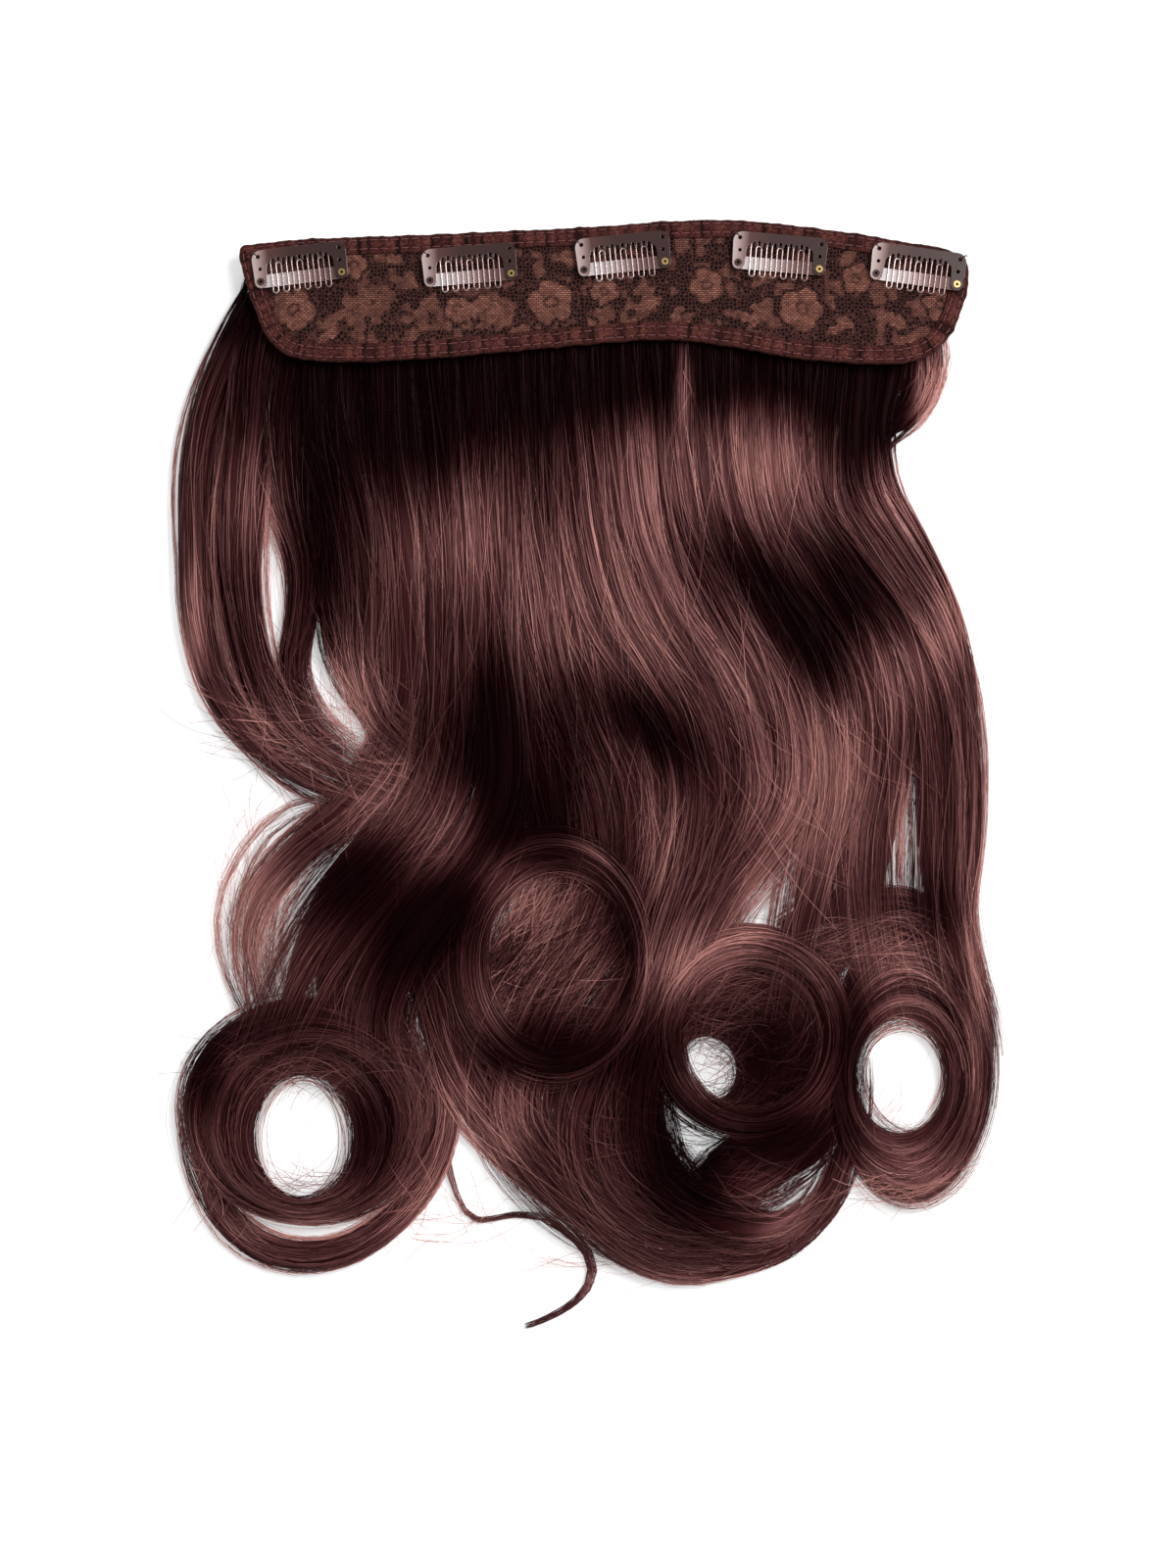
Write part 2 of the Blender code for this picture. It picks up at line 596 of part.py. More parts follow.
def curl_solid(curl):
    """One turn of a curl: the same section swept round an oval."""
    middle = plan_point(curl.across * HUNDREDTH, curl.down * HUNDREDTH)
    points = []
    for k in range(LOOP_STEPS):
        angle = 2 * math.pi * k / LOOP_STEPS
        outer = Vector((curl.outer_x * math.cos(angle), curl.outer_y * math.sin(angle), 0.0))
        inner = Vector((curl.inner_x * math.cos(angle), curl.inner_y * math.sin(angle), 0.0))
        centre = (outer + inner) * 0.5 * CURL_RADIUS
        side = (inner - outer) * 0.5 * CURL_RADIUS
        base = curl.lift * LOCK_DEPTH - LOCK_SINK
        for s, h in LOCK_SECTION:
            rise = Vector((0.0, 0.0, base + h * (curl.deep * LOCK_DEPTH + LOCK_SINK)))
            points.append(middle + centre + side * s + rise)
    return mesh_object(f"curl_{curl.name}", points, ring_faces(LOOP_STEPS, len(LOCK_SECTION), True))


def weft_pad(finish):
    """The rows of stitched wefts under the band, which all the locks grow from."""
    loop = inset(band_outline(), PAD_MARGIN)
    base = ORIGIN_DOWN * FALL_LENGTH
    points = [Vector((p.x, base + p.y, -LOCK_SINK)) for p in loop]
    points += [Vector((p.x, base + p.y, EDGE_REST)) for p in loop]
    count = len(loop)
    faces = ring_faces(2, count, False)
    return mesh_object("hair", points, faces, finish)


def floor_cutter():
    """Everything under the surface that the hair lies on."""
    reach = BAND_LENGTH + FALL_LENGTH
    points = [Vector((x, y, z)) for z in (-TALL, 0.0) for x, y in
              ((-reach, -reach), (reach, -reach), (reach, reach), (-reach, reach))]
    return mesh_object("floor_cutter", points, ring_faces(2, 4, False))


def band_cutter():
    """The space that the band takes, from just under it upwards."""
    loop = inset(band_outline(), -BAND_CLEARANCE)
    frame = Matrix.Translation((0.0, ORIGIN_DOWN * FALL_LENGTH, EDGE_REST))
    frame = frame @ Matrix.Rotation(-BAND_TILT, 4, "X")
    points = [frame @ (p + Vector((0.0, 0.0, -SEAT_GAP))) for p in loop]
    points += [frame @ (p + Vector((0.0, 0.0, TALL))) for p in loop]
    return mesh_object("band_cutter", points, ring_faces(2, len(loop), False))


def hide_helper(helper):
    helper.hide_render = True
    helper.display_type = "WIRE"


def hair(finish):
    """The wefts with every lock and curl fused to them, flat where they lie and clear of the band."""
    body = weft_pad(finish)
    helpers = [lock_solid(lock) for lock in LOCKS] + [curl_solid(curl) for curl in CURLS]
    for layer, helper in enumerate(helpers):
        helper.location.z = layer * LAYER_STEP
        join = body.modifiers.new(helper.name, "BOOLEAN")
        join.operation = "UNION"
        join.solver = "EXACT"
        join.use_self = True
        join.object = helper
    for cutter in (floor_cutter(), band_cutter()):
        cut = body.modifiers.new(cutter.name, "BOOLEAN")
        cut.operation = "DIFFERENCE"
        cut.solver = "EXACT"
        cut.object = cutter
        helpers.append(cutter)
    for helper in helpers:
        hide_helper(helper)
    return body


def main():
    clear_scene()
    hair_finish = material("hair", (0.045, 0.014, 0.013), 0.42)
    lace_finish = material("lace", (0.115, 0.050, 0.040), 0.85)
    tape_finish = material("tape", (0.075, 0.027, 0.023), 0.80)
    metal = material("clip_metal", (0.090, 0.040, 0.036), 0.30, 0.9)
    brass = material("eyelet_brass", (0.55, 0.38, 0.16), 0.30, 1.0)
    dark = material("eyelet_dark", (0.060, 0.026, 0.024), 0.35, 0.9)
    frame = band_frame()
    pieces = [lace_panel(lace_finish), edge_tape(tape_finish)]
    pieces += clip_parts(metal, brass, dark)
    for piece in pieces:
        piece.parent = frame
    hair(hair_finish)


main()
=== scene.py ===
import math
from collections import namedtuple

import bpy
import numpy as np
from mathutils import Matrix, Vector


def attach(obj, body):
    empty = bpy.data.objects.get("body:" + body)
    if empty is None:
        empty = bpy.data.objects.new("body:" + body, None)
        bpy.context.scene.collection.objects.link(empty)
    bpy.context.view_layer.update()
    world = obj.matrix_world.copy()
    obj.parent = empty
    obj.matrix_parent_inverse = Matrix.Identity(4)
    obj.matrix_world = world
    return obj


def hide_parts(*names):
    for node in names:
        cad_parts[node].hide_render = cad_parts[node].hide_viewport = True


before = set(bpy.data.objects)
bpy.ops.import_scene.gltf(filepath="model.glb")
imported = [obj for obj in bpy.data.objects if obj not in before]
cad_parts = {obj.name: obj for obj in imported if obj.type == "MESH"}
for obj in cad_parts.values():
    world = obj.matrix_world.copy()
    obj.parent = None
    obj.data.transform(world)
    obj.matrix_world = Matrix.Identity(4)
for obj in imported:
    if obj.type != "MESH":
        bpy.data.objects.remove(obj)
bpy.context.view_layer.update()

# The same frame as the solids: shares of the band's length across, of the fall's length down
BAND_LENGTH = 0.2526
BAND_HEIGHT = 0.0442
FALL_LENGTH = 0.340
ORIGIN_ACROSS = 0.4785
ORIGIN_DOWN = 0.4235
EDGE_REST = 0.0100
BAND_TILT = math.radians(6.0)
HUNDREDTH = 0.01
MM = 0.001
# How far the hair stays under the band, from how far below the band's edge it is pressed down,
# and over what length
HAIR_UNDER_BAND = 0.0008
PRESS_FROM = 0.012
PRESS_LENGTH = 0.010
BAND_Y = ORIGIN_DOWN * FALL_LENGTH
BAND_MATRIX = Matrix.Translation((0.0, BAND_Y, EDGE_REST)) @ Matrix.Rotation(-BAND_TILT, 4, "X")

draw = np.random.default_rng(7)

# Strands: spacing of points along them in metres, in millimetres for wisps, how many there are to a
# metre of lock width, and their widths. The core is the body under them, painted darker as shade. Locks
# that aren't as dense as the rest have their density, and some locks have painted light along their edges.
STRAND_STEP = 0.0085
COIL_STEP = 0.0052
STRANDS_PER_METRE = 19200
STRAND_HALF_WIDTH = (0.00006, 0.00012)
LOWEST = 0.0003
FLYAWAY_SHARE = 0.05
FLYAWAY_DRIFT = 0.004
WISP_STEP = 5.4
CORE_SIDES = 9
CORE_STEP = 0.006
CORE_PAINTED_SHADE = 0.20
THIN_LOCKS = {"left_veil": 0.30, "left_wisp": 0.7, "tail": 2.4, "thin_strand": 2.4}
LIT_EDGES = {"left_outer", "left_veil", "left_wisp", "right_edge", "right_loop", "left_split", "ring_feed",
             "low_edge", "right_fall", "mid_left", "low_left", "left_inner"}

# Locks: lift and depth in millimetres, widths in millimetres at even spaces along the route, and
# a route of (across, down) in hundredths
Tress = namedtuple("Tress", "name lift depth widths route")
TRESSES = [Tress(*row) for row in (
    ("left_outer", (0.3, 0.3, 0.5), 7, (9, 13, 14, 13, 13, 13, 16), [
        (5, -10), (1.7, -6), (-1.5, -1), (-4.4, 5), (-6.1, 12), (-6.3, 20), (-5.8, 27), (-3, 34), (3, 39.5), (9, 43),
        (17, 45.5), (24, 47)]),
    ("left_inner", (0.3, 0.5, 0.8), 8, (20, 20, 20, 16, 15, 16), [
        (5, -9), (1.8, 0), (0.8, 8), (0, 15), (-0.4, 22), (0.9, 29), (3.8, 35), (9, 39.5), (16, 42.5), (23, 44)]),
    ("left_split", (0.3, 0.4, 0.3), 6, (20, 22, 22, 17, 12, 12, 12), [
        (9, -9), (6.6, 0), (6, 8), (6.9, 15), (8.6, 21), (8.2, 27), (7.2, 32), (9.8, 37), (16, 41.5)]),
    ("left_under", (0.3, 0.4, 0.8), 6, (16, 16, 18, 18, 16, 12), [
        (12, -6), (11.5, 4), (12.4, 12), (13.4, 19), (13.4, 25), (15, 31), (19.4, 36), (26, 39.5)]),
    ("left_veil", (0.5, 0.4, 0.4), 3, (16, 22, 22, 20, 14), [
        (17, 46), (8, 49), (2.5, 54), (1.2, 60), (3, 66), (8, 71)]),
    ("left_centre", (0.3, 0.6, 1.5), 8, (24, 25, 24, 20, 14, 14), [
        (14, -9), (13, 0), (13.5, 8), (16, 16), (17, 24), (17, 31), (19.5, 37), (25, 41), (30, 45)]),
    ("mid_left", (0.5, 0.6, 2.5), 8, (24, 24, 22, 20, 16, 14, 10), [
        (21, -9), (21, 0), (21.5, 10), (23, 20), (23.5, 29), (22.5, 36), (19, 42), (14, 46.5), (7.5, 50.5), (2.5, 55),
        (0.8, 60), (3, 66)]),
    ("wave_outer", (0.6, 0.8, 3.5, 2), 9, (28, 28, 27, 28, 30, 26), [
        (27, -9), (27, 0), (28, 10), (29, 20), (29, 30), (28.5, 38), (26, 45), (20, 51), (14, 56), (9.5, 61), (6, 67),
        (3, 73)]),
    ("wave_inner", (0.6, 0.8, 4.5, 2.5), 9, (24, 24, 22, 22, 24, 26), [
        (34, -9), (34, 0), (34.5, 10), (35, 20), (35.5, 30), (36.5, 38), (36, 45), (32, 51.5), (26, 57), (21, 63),
        (19, 69), (22, 76)]),
    ("wave_under", (0.4, 0.5, 0.5), 6, (20, 30, 36, 34, 26), [
        (27, 44), (22, 51), (18, 58), (16.5, 65), (18, 72), (22, 79)]),
    ("centre_under", (0.3, 0.4, 0.5), 6, (20, 24, 30, 34, 32), [
        (46, 8), (48, 18), (50.5, 27), (53.2, 35), (56.5, 43), (56.5, 51), (54, 59)]),
    ("centre_bed", (0.4, 0.5, 0.6), 8, (20, 20, 24, 34, 38, 30), [
        (37, -6), (37.5, 8), (38.5, 19), (40.5, 29), (42.5, 37), (44, 45), (44.5, 53), (43, 61)]),
    ("ring_bed", (0.4, 0.6, 0.8), 6, (20, 34, 44, 44, 36, 24), [
        (60, 45), (54, 50), (48, 55), (43, 60.5), (39, 66.5), (36.5, 73), (37.5, 80)]),
    ("centre_left", (0.4, 0.6, 1), 9, (26, 26, 26, 26, 28, 26), [
        (40, -9), (40, 0), (40.5, 10), (41, 20), (42.5, 29), (46, 37), (50, 44), (51, 51), (48, 58), (42, 65),
        (38.4, 72), (38, 78), (43, 83.6), (50, 87.6), (58, 90.2)]),
    ("centre_one", (0.4, 0.7, 1.2), 9, (26, 26, 26, 26, 24, 26), [
        (46, -9), (46, 0), (47, 10), (48, 18), (51, 26), (56, 32), (60.5, 37.5), (62.5, 44), (61.5, 51), (58.5, 58),
        (55, 65), (49, 72), (46, 79), (49, 86), (57, 90.5), (66, 91)]),
    ("centre_two", (0.4, 0.7, 1.4), 9, (26, 27, 27, 26, 24, 24), [
        (53, -9), (53, 0), (54, 10), (55.5, 18), (59.5, 26), (64.5, 32), (68, 38), (69, 45), (65.5, 52), (61.5, 58),
        (58.5, 65), (55.5, 72), (54.5, 79), (57, 86)]),
    ("centre_three", (0.4, 0.8, 1.6), 9, (28, 27, 27, 26, 26, 24), [
        (60, -9), (60, 0), (60.5, 10), (62.5, 18), (67, 25), (72, 31.5), (75, 38), (75, 44.5), (71, 50), (66, 55),
        (62.5, 60.5), (60, 67)]),
    ("right_one", (0.4, 0.8, 1.4), 9, (28, 27, 26, 26, 24, 22), [
        (67, -9), (67, 0), (67.5, 10), (69.5, 17), (74, 24), (79, 30), (82, 37), (82.2, 44), (80, 50.5), (78, 56.5),
        (76.5, 62), (75, 68)]),
    ("right_two", (0.4, 0.8, 1.2), 9, (28, 27, 25, 24, 28, 26), [
        (74, -9), (74, 0), (74, 9), (75.5, 16), (80, 22), (85.5, 28.5), (88, 35), (87.4, 42), (85.6, 49), (85.6, 56),
        (87, 62), (89, 68)]),
    ("right_three", (0.4, 0.9, 1.2), 9, (26, 25, 20, 22, 22, 22), [
        (80, -9), (79.5, 0), (79, 8), (80, 15), (85, 21), (91, 27.5), (94.8, 34), (96.4, 41), (96.8, 48), (96.6, 55),
        (98, 62), (100.5, 69)]),
    ("right_fall", (0.3, 0.6, 0.8), 8, (22, 20, 13, 13, 12, 14), [
        (86, -9), (85.5, 0), (84.5, 8), (85.5, 14), (90.5, 20), (95.5, 26), (98.5, 33), (99.7, 41), (99.8, 49),
        (99, 57), (100.5, 64), (102.5, 72)]),
    ("right_edge", (0.3, 0.4, 0.4), 5, (9, 9, 6, 4, 5, 6), [
        (91, -9), (90, 0), (88.3, 7), (89.5, 13), (94, 19), (97.8, 25), (99.9, 31), (100.5, 38), (100.2, 45)]),
    ("right_loop", (0.3, 0.3, 0.3), 4, (10, 15, 16, 11, 6), [
        (91.5, -9), (93.6, -3), (93.8, 1.6), (92.2, 5), (89.3, 7.4), (87, 10)]),
    ("right_arc", (0.6, 3, 1), 5, (12, 16, 16, 14, 12), [
        (76, 66), (80, 61.5), (85, 58.5), (91, 57.5), (96.5, 60), (100, 65), (102, 71)]),
    ("right_over", (0.6, 1.6, 0.6), 4, (8, 10, 10, 9), [
        (74, 58.5), (80, 56.2), (86, 55.4), (92, 55.6), (97.5, 58), (101, 63)]),
    ("low_left", (0.5, 0.5, 0.5), 8, (16, 24, 26, 22, 16, 12), [
        (24, 50), (25.5, 57), (27.5, 64), (30.5, 71), (35, 77), (41.5, 82.3), (48.5, 86.6), (55.5, 89.4), (62, 91),
        (68, 90.8)]),
    ("low_arc", (0.4, 0.4, 1), 6, (10, 13, 13, 12, 12), [
        (44, 72), (47, 79), (52.5, 85), (60, 89.3), (68, 91.3), (75, 90), (81, 85.5), (84, 78), (84, 71)]),
    ("low_middle", (0.8, 1, 1.6), 8, (20, 24, 22, 18, 14), [
        (54, 68), (54, 76), (56.5, 83), (64, 87.5), (73, 88.5), (80, 85)]),
    ("low_fill", (0.5, 0.6, 0.8), 6, (16, 26, 28, 22, 14), [
        (62, 87.5), (67, 84), (73, 81), (79, 78), (82.5, 71)]),
    ("low_edge", (0.3, 0.3, 0.3), 4, (8, 10, 9, 8), [
        (47, 88), (53, 91.5), (60, 93.2), (67, 92.8), (74, 91), (80, 87.5)]),
    ("tail", (0.3, 0.2, 0.2), 2, (5, 3.4, 2.6, 2, 1.6), [
        (42, 87.5), (45.5, 89.5), (48, 92), (48, 94.5), (45.5, 96.8), (41, 98.6), (39, 99)]),
    ("thin_strand", (0.4, 0.2, 0.2), 1.5, (3, 1.8, 1.5, 2.5), [
        (27.5, 80), (29, 84), (30.6, 87), (33, 88.2), (37.5, 87.6), (43, 88)]),
    ("left_wisp", (0.5, 0.4, 0.4), 3, (8, 5, 4, 6), [
        (16, 46.5), (8, 51), (3, 57), (1, 63), (3, 69), (8, 73)]),
    ("ring_feed", (0.5, 0.5, 0.5), 4, (12, 11, 12, 12), [
        (27, 70), (28, 77), (26, 83), (21, 88), (14, 91.2), (6, 91.6), (-1, 88.8), (-5.4, 83), (-6.8, 76)]),
    ("low_under", (0.3, 0.3, 0.3), 6, (20, 30, 32, 28, 20), [
        (47, 66), (48, 72), (50.5, 78), (56, 83), (64, 86.5)]),
)]

# Ringlets: middle and outer half sizes, then the hole's middle and half sizes; middles in
# hundredths across and down, sizes in millimetres
Coil = namedtuple("Coil", "name across down outer_x outer_y hole_across hole_down hole_x hole_y lift depth weight")
COILS = [Coil(*row) for row in (
    ("ring_one", 9.6, 76.6, 46, 40, 8.5, 79.6, 16, 21.5, 0.3, 10, 1),
    ("ring_one_upper", 9.9, 77.6, 38, 33, 8.6, 79.6, 16, 21.5, 3, 8, 0.7),
    ("ring_two", 42.2, 60.8, 36, 46, 43.5, 61.7, 24, 29, 4, 9, 1),
    ("ring_two_loose", 42.8, 61.5, 31, 40, 44.5, 62, 14, 17, 2.5, 6, 0.15),
    ("ring_three", 69.8, 68.6, 36, 38, 70, 69.4, 23, 24, 3.6, 9, 1.1),
    ("ring_three_inner", 70.6, 69.2, 27, 27, 63.6, 73, 9.5, 10.5, 0.8, 8, 0.8),
    ("ring_four", 92.3, 72.2, 29.5, 50, 90.8, 73.4, 15, 18.5, 0.4, 9, 1),
    ("ring_four_upper", 91.9, 72.6, 26, 40, 90.8, 73.4, 15, 18.5, 2.5, 8, 0.6),
)]

# Stray strands that cross the locks: middle in hundredths, half sizes in millimetres, heading and
# its spread in degrees, length in millimetres, bend in degrees, count, height in millimetres, and tone,
# a shift that paints light on the strands where it is above zero and darkens them where it is below
Wisps = namedtuple("Wisps", "across down wide tall turn spread long bend count lift tone")
WISPS = [Wisps(*row) for row in (
    (11, 38, 24, 13, -38, 26, 70, 35, 110, 6.5, 0.22), (5, 41, 12, 7, -36, 16, 52, 30, 50, 4, 0.24),
    (16, 33, 12, 18, -70, 14, 60, 30, 50, 5, 0.3), (3, 20, 7, 34, -86, 5, 60, -10, 40, 2.5, 0.42),
    (43, 60, 19, 22, 40, 13, 46, -16, 200, 7, 0.2), (43, 61, 19, 24, 36, 12, 50, -20, 170, 7.6, -0.3),
    (41, 60, 15, 24, 72, 12, 50, -50, 90, 8, -0.26), (46, 66, 17, 12, 20, 16, 42, 26, 110, 7.5, 0.06),
    (40, 56, 13, 13, 62, 14, 36, -30, 90, 7.5, 0.1), (72.5, 69.5, 14, 17, 15, 30, 40, 70, 130, 7, 0.12),
    (73, 70, 14, 17, 25, 30, 44, 70, 120, 7.6, -0.25), (63, 79.5, 9, 5, -20, 20, 34, 20, 16, 5, 0.3),
    (66.5, 66.5, 14, 9, 38, 18, 40, -70, 80, 7, 0.25), (64, 73.6, 6, 7, -8, 22, 24, 40, 12, 5, 0.25),
    (90.8, 75.5, 8, 11, 70, 24, 26, 60, 10, 4, 0.45), (8.5, 72, 30, 10, 8, 20, 46, -70, 90, 9, 0.16),
    (12, 85, 26, 8, 8, 18, 42, 60, 70, 7, 0.22), (-3, 80, 8, 20, 85, 14, 44, 50, 50, 6, 0.2),
    (22, 76, 9, 22, -80, 18, 42, -40, 60, 8, 0.1), (27, 87, 22, 12, -20, 50, 40, 60, 30, 1.2, 0.55),
    (56, 92, 34, 5, -4, 14, 44, 40, 40, 2, 0.5), (3, 56, 12, 26, -84, 16, 50, 50, 60, 2, 0.48),
    (20, 50, 16, 14, 38, 22, 50, -30, 70, 9.5, 0.2), (60, 80, 30, 16, -25, 26, 46, 40, 90, 8, 0.1),
    (92, 84, 16, 6, 12, 16, 38, 50, 60, 7, 0.26), (84, 60, 26, 8, 8, 16, 44, -40, 80, 8, 0.12),
    (45, 24, 84, 66, -86, 9, 80, 14, 110, 10.5, 0.1), (26, 5, 9, 3, 3, 8, 44, -14, 4, 11, 0.48),
    (75, 38, 40, 40, -62, 10, 70, 26, 60, 10, 0.12),
)]

# Where the waves catch the light or fall away from it: middle and reach across and down in
# hundredths, strength, and a turn in degrees
Patch = namedtuple("Patch", "across down wide tall strength turn", defaults=(0,))
PATCHES = [Patch(*row) for row in (
    (22, 2, 21, 12, -0.56), (52, 0, 19, 7, -0.52), (76, 0, 14, 7.5, -0.5), (88, 6, 7, 8, -0.5),
    (61, 2, 1.3, 5, 0.8), (1, 14, 4, 6, 0.22), (11, 17, 3.5, 12, -0.3), (8, 31, 4, 5, -0.05), (26, 19, 6, 6, 0.22),
    (33, 16, 5, 7, 0.24), (41, 24, 6, 8, 0.16), (57, 13, 9, 8, 0.3), (71, 9, 6, 7, 0.4), (76, 12, 5, 6, 0.26),
    (49, 25, 8, 9, 0.26, 35), (58, 28, 5, 6, 0.22, 35), (69, 31, 6, 5, 0.24, 40), (80, 38, 8, 5, 0.2, 30),
    (88, 33, 6, 5, 0.36, 45), (80, 46, 7, 8, 0.4), (73, 47, 4, 8, 0.16), (20, 45, 8, 4, 0.26, -30),
    (30, 47, 7, 3.5, 0.18, -25), (38, 55, 5, 5, 0.34), (43, 57, 5, 4, 0.26), (35, 66, 4, 4, 0.2),
    (44, 63, 6, 3, 0.22, -10), (66, 60, 8, 3, 0.36, -20), (59, 62, 4, 4, 0.22), (90, 61, 8, 3.5, 0.32),
    (-5, 82, 3, 7, 0.1), (30, 78, 5, 8, 0.28), (92, 84, 8, 4, 0.34), (72, 84, 8, 2.5, 0.1), (91, 68, 5, 4, 0.14),
    (58, 50, 4, 6, 0.2), (13, 22, 4, 7, -0.12), (35, 40, 5, 10, -0.52), (27, 40, 5, 5, -0.16),
    (56, 37.5, 9, 3.2, -0.42, 28), (77, 27.5, 12, 3.8, -0.52, 42), (65, 20, 6, 3, -0.12, 42),
    (16, 53, 7, 5, -0.42, -20), (27, 57, 7, 4, -0.52, -20), (22, 62, 6, 5, -0.24), (40, 48, 6, 5, -0.3),
    (59, 76, 7, 9, -0.34), (62, 84, 6, 5, -0.42), (75, 80, 8, 3.4, -0.36), (84, 24, 7, 4, -0.4, 45),
    (53, 57, 3, 8, -0.2), (42, 71, 12, 3.5, -0.34), (73, 71, 7, 6, -0.26), (84, 70, 3, 8, -0.28),
    (2, 28, 4, 8, -0.1), (0, 68, 12, 3, -0.2), (-5, 73, 3, 5, -0.3), (18, 79, 3.5, 6, -0.25), (44, 40, 4, 8, -0.26),
    (95, 57, 4, 4, -0.22), (15, 34.5, 4.5, 4, 0.45, 40), (4.2, 21.5, 1.3, 7, 0.45), (-6.5, 29, 1.6, 9, 0.5),
    (1, 57, 6, 9, 0.45), (71, 54.5, 3.6, 3, 0.42, -30), (91, 48, 1.6, 5, 0.45), (37, 78, 3, 6, 0.36, 20),
    (75, 88.5, 5, 1.8, 0.4, -20), (97, 27, 3.4, 6, 0.42, 30), (63.5, 73, 4.2, 3.4, 0.3), (8, 89, 9, 1.4, 0.4),
    (50, 94.5, 20, 1.5, 0.3), (92, 13, 3, 5, 0.45), (-1, -7, 5, 5, -0.5), (27, 88, 6, 5, 0.35),
    (95, 4, 3.2, 4.5, 0.8), (87.5, 13, 2.4, 5, 0.32), (101, 62, 1.5, 18, 0.3), (5, 38.5, 7, 2.6, 0.22, 30),
    (8.5, 79, 7, 6, 0.16), (91, 74, 6, 5, 0.14),
)]
TONE_MIDDLE = 0.43
TONE_SPREAD = 0.100

# The band's edge in shares of its length and height, as in the solids
BandSection = namedtuple("BandSection", "along top bottom")
BAND_SECTIONS = [BandSection(*row) for row in (
    (0, 0.877, 0.74), (0.018, 0.885, 0.4), (0.038, 0.9, 0.12), (0.07, 0.92, -0.03), (0.14, 0.94, -0.062),
    (0.25, 0.96, -0.035), (0.34, 0.985, 0.01), (0.48, 1.02, 0.085), (0.58, 1.07, 0.13), (0.67, 1.085, 0.075),
    (0.75, 1.045, -0.025), (0.86, 0.96, -0.077), (0.92, 0.895, -0.065), (0.96, 0.86, 0.04), (0.985, 0.81, 0.26),
    (1, 0.72, 0.56),
)]
# Tape, stitches, threads and lace, in metres
TAPE_STEP = 0.0009
TAPE_WIDTH = 0.0062
TAPE_DEPTH = 0.0030
PUCKER_HEIGHT = 0.00042
CREASE_HALF_WIDTH = 0.0005
SEWN_ROWS = (0.0015, 0.00455)
STITCH_ROWS = (0.0015, 0.0046)
STITCH_HEIGHT = 0.00294
STITCH_RADIUS = 0.0002
SEWING_RADIUS = 0.00007
BUMP_HEIGHT = 0.0002
LACE_TOP = 0.0020
LACE_CROWN = 0.0009
LACE_TUCK = 0.0035
LACE_ROWS = 76
LACE_COLUMNS = 440
# Soft folds across the lace: share along the band, lean and depth
LACE_FOLDS = (
    (0.108, 0.1, 1.0), (0.465, -0.05, 1.0), (0.345, 0.2, 0.5), (0.68, -0.1, 0.9), (0.80, 0.15, 0.5),
    (0.215, 0, 0.5), (0.58, 0.1, 0.6),
)

# Clips, in millimetres from the middle of each
ClipPlace = namedtuple("ClipPlace", "along up turn")
CLIP_PLACES = [ClipPlace(*row) for row in (
    (0.084, 0.7, 7), (0.316, 0.7, 5), (0.526, 0.79, 6), (0.74, 0.79, -5), (0.929, 0.685, -8),
)]
CLIP_HALF_WIDTH = 16.25
CLIP_HALF_HEIGHT = 6.7
CLIP_ARM = 4.6
CLIP_SPINE_FOOT = 2.9
TINE_PITCH = 1.83
TINE_RADIUS = 0.28
TINES = 12
BAR_Z = 4.10
COMB_Z = 4.90

# Lace flowers and leaves: places in shares of the band, sizes in millimetres
Flower = namedtuple("Flower", "along up size turn")
FLOWERS = [Flower(*row) for row in (
    (0.075, 0.36, 8, 10), (0.427, 0.42, 8, 40), (0.77, 0.36, 8, 5), (0.64, 0.55, 6, 30), (0.845, 0.6, 5.5, 60),
    (0.155, 0.72, 5.5, 0), (0.5, 0.5, 5, 25), (0.96, 0.4, 6, 50), (0.3, 0.36, 5, 20),
)]
Leaf = namedtuple("Leaf", "along up long wide turn")
LEAVES = [Leaf(*row) for row in (
    (0.125, 0.16, 5, 1.6, 30), (0.205, 0.78, 6, 2, -25), (0.235, 0.12, 5, 1.8, 60), (0.315, 0.34, 6, 2.6, 35),
    (0.345, 0.38, 6, 2.6, -30), (0.37, 0.62, 5, 1.8, 70), (0.385, 0.2, 4, 1.8, 15), (0.49, 0.22, 5, 1.6, -40),
    (0.56, 0.4, 6, 2, 20), (0.6, 0.28, 5, 1.8, 75), (0.69, 0.3, 6, 2, -20), (0.715, 0.62, 5, 1.8, 45),
    (0.82, 0.22, 5, 1.8, 30), (0.895, 0.28, 6, 2, -30), (0.915, 0.12, 5, 1.6, 10), (0.265, 0.8, 5, 1.6, 15),
    (0.03, 0.7, 5, 2.2, 60), (0.455, 0.78, 6, 2.2, 0),
)]


def clamp(values):
    return np.clip(values, 0.0, 1.0)


def hump(values, width):
    """A soft bump, 1 at zero and gone at about twice its width."""
    return np.exp(-(values / width) ** 2)


def angles(*shape):
    """Random angles all round."""
    return draw.uniform(0, 2 * math.pi, shape)


def smooth_rows(rows, shares):
    """Rows of numbers read at shares of the way through them, on a curve through every row."""
    rows = np.asarray(rows, float)
    if rows.ndim == 1:
        rows = rows[:, None]
    spans = len(rows) - 1
    place = clamp(shares) * spans
    i = np.minimum(place.astype(int), spans - 1)
    t = (place - i)[..., None]
    p, a = rows[np.maximum(i - 1, 0)], rows[i]
    b, q = rows[i + 1], rows[np.minimum(i + 2, spans)]
    square = (2 * p - 5 * a + 4 * b - q) * t * t
    return 0.5 * (2 * a + (b - p) * t + square + (3 * a - p - 3 * b + q) * t * t * t)


def plan(across, down):
    """Metres in the row frame from hundredths across and down."""
    x = (across * HUNDREDTH - ORIGIN_ACROSS) * BAND_LENGTH
    y = (ORIGIN_DOWN - down * HUNDREDTH) * FALL_LENGTH
    return x, y


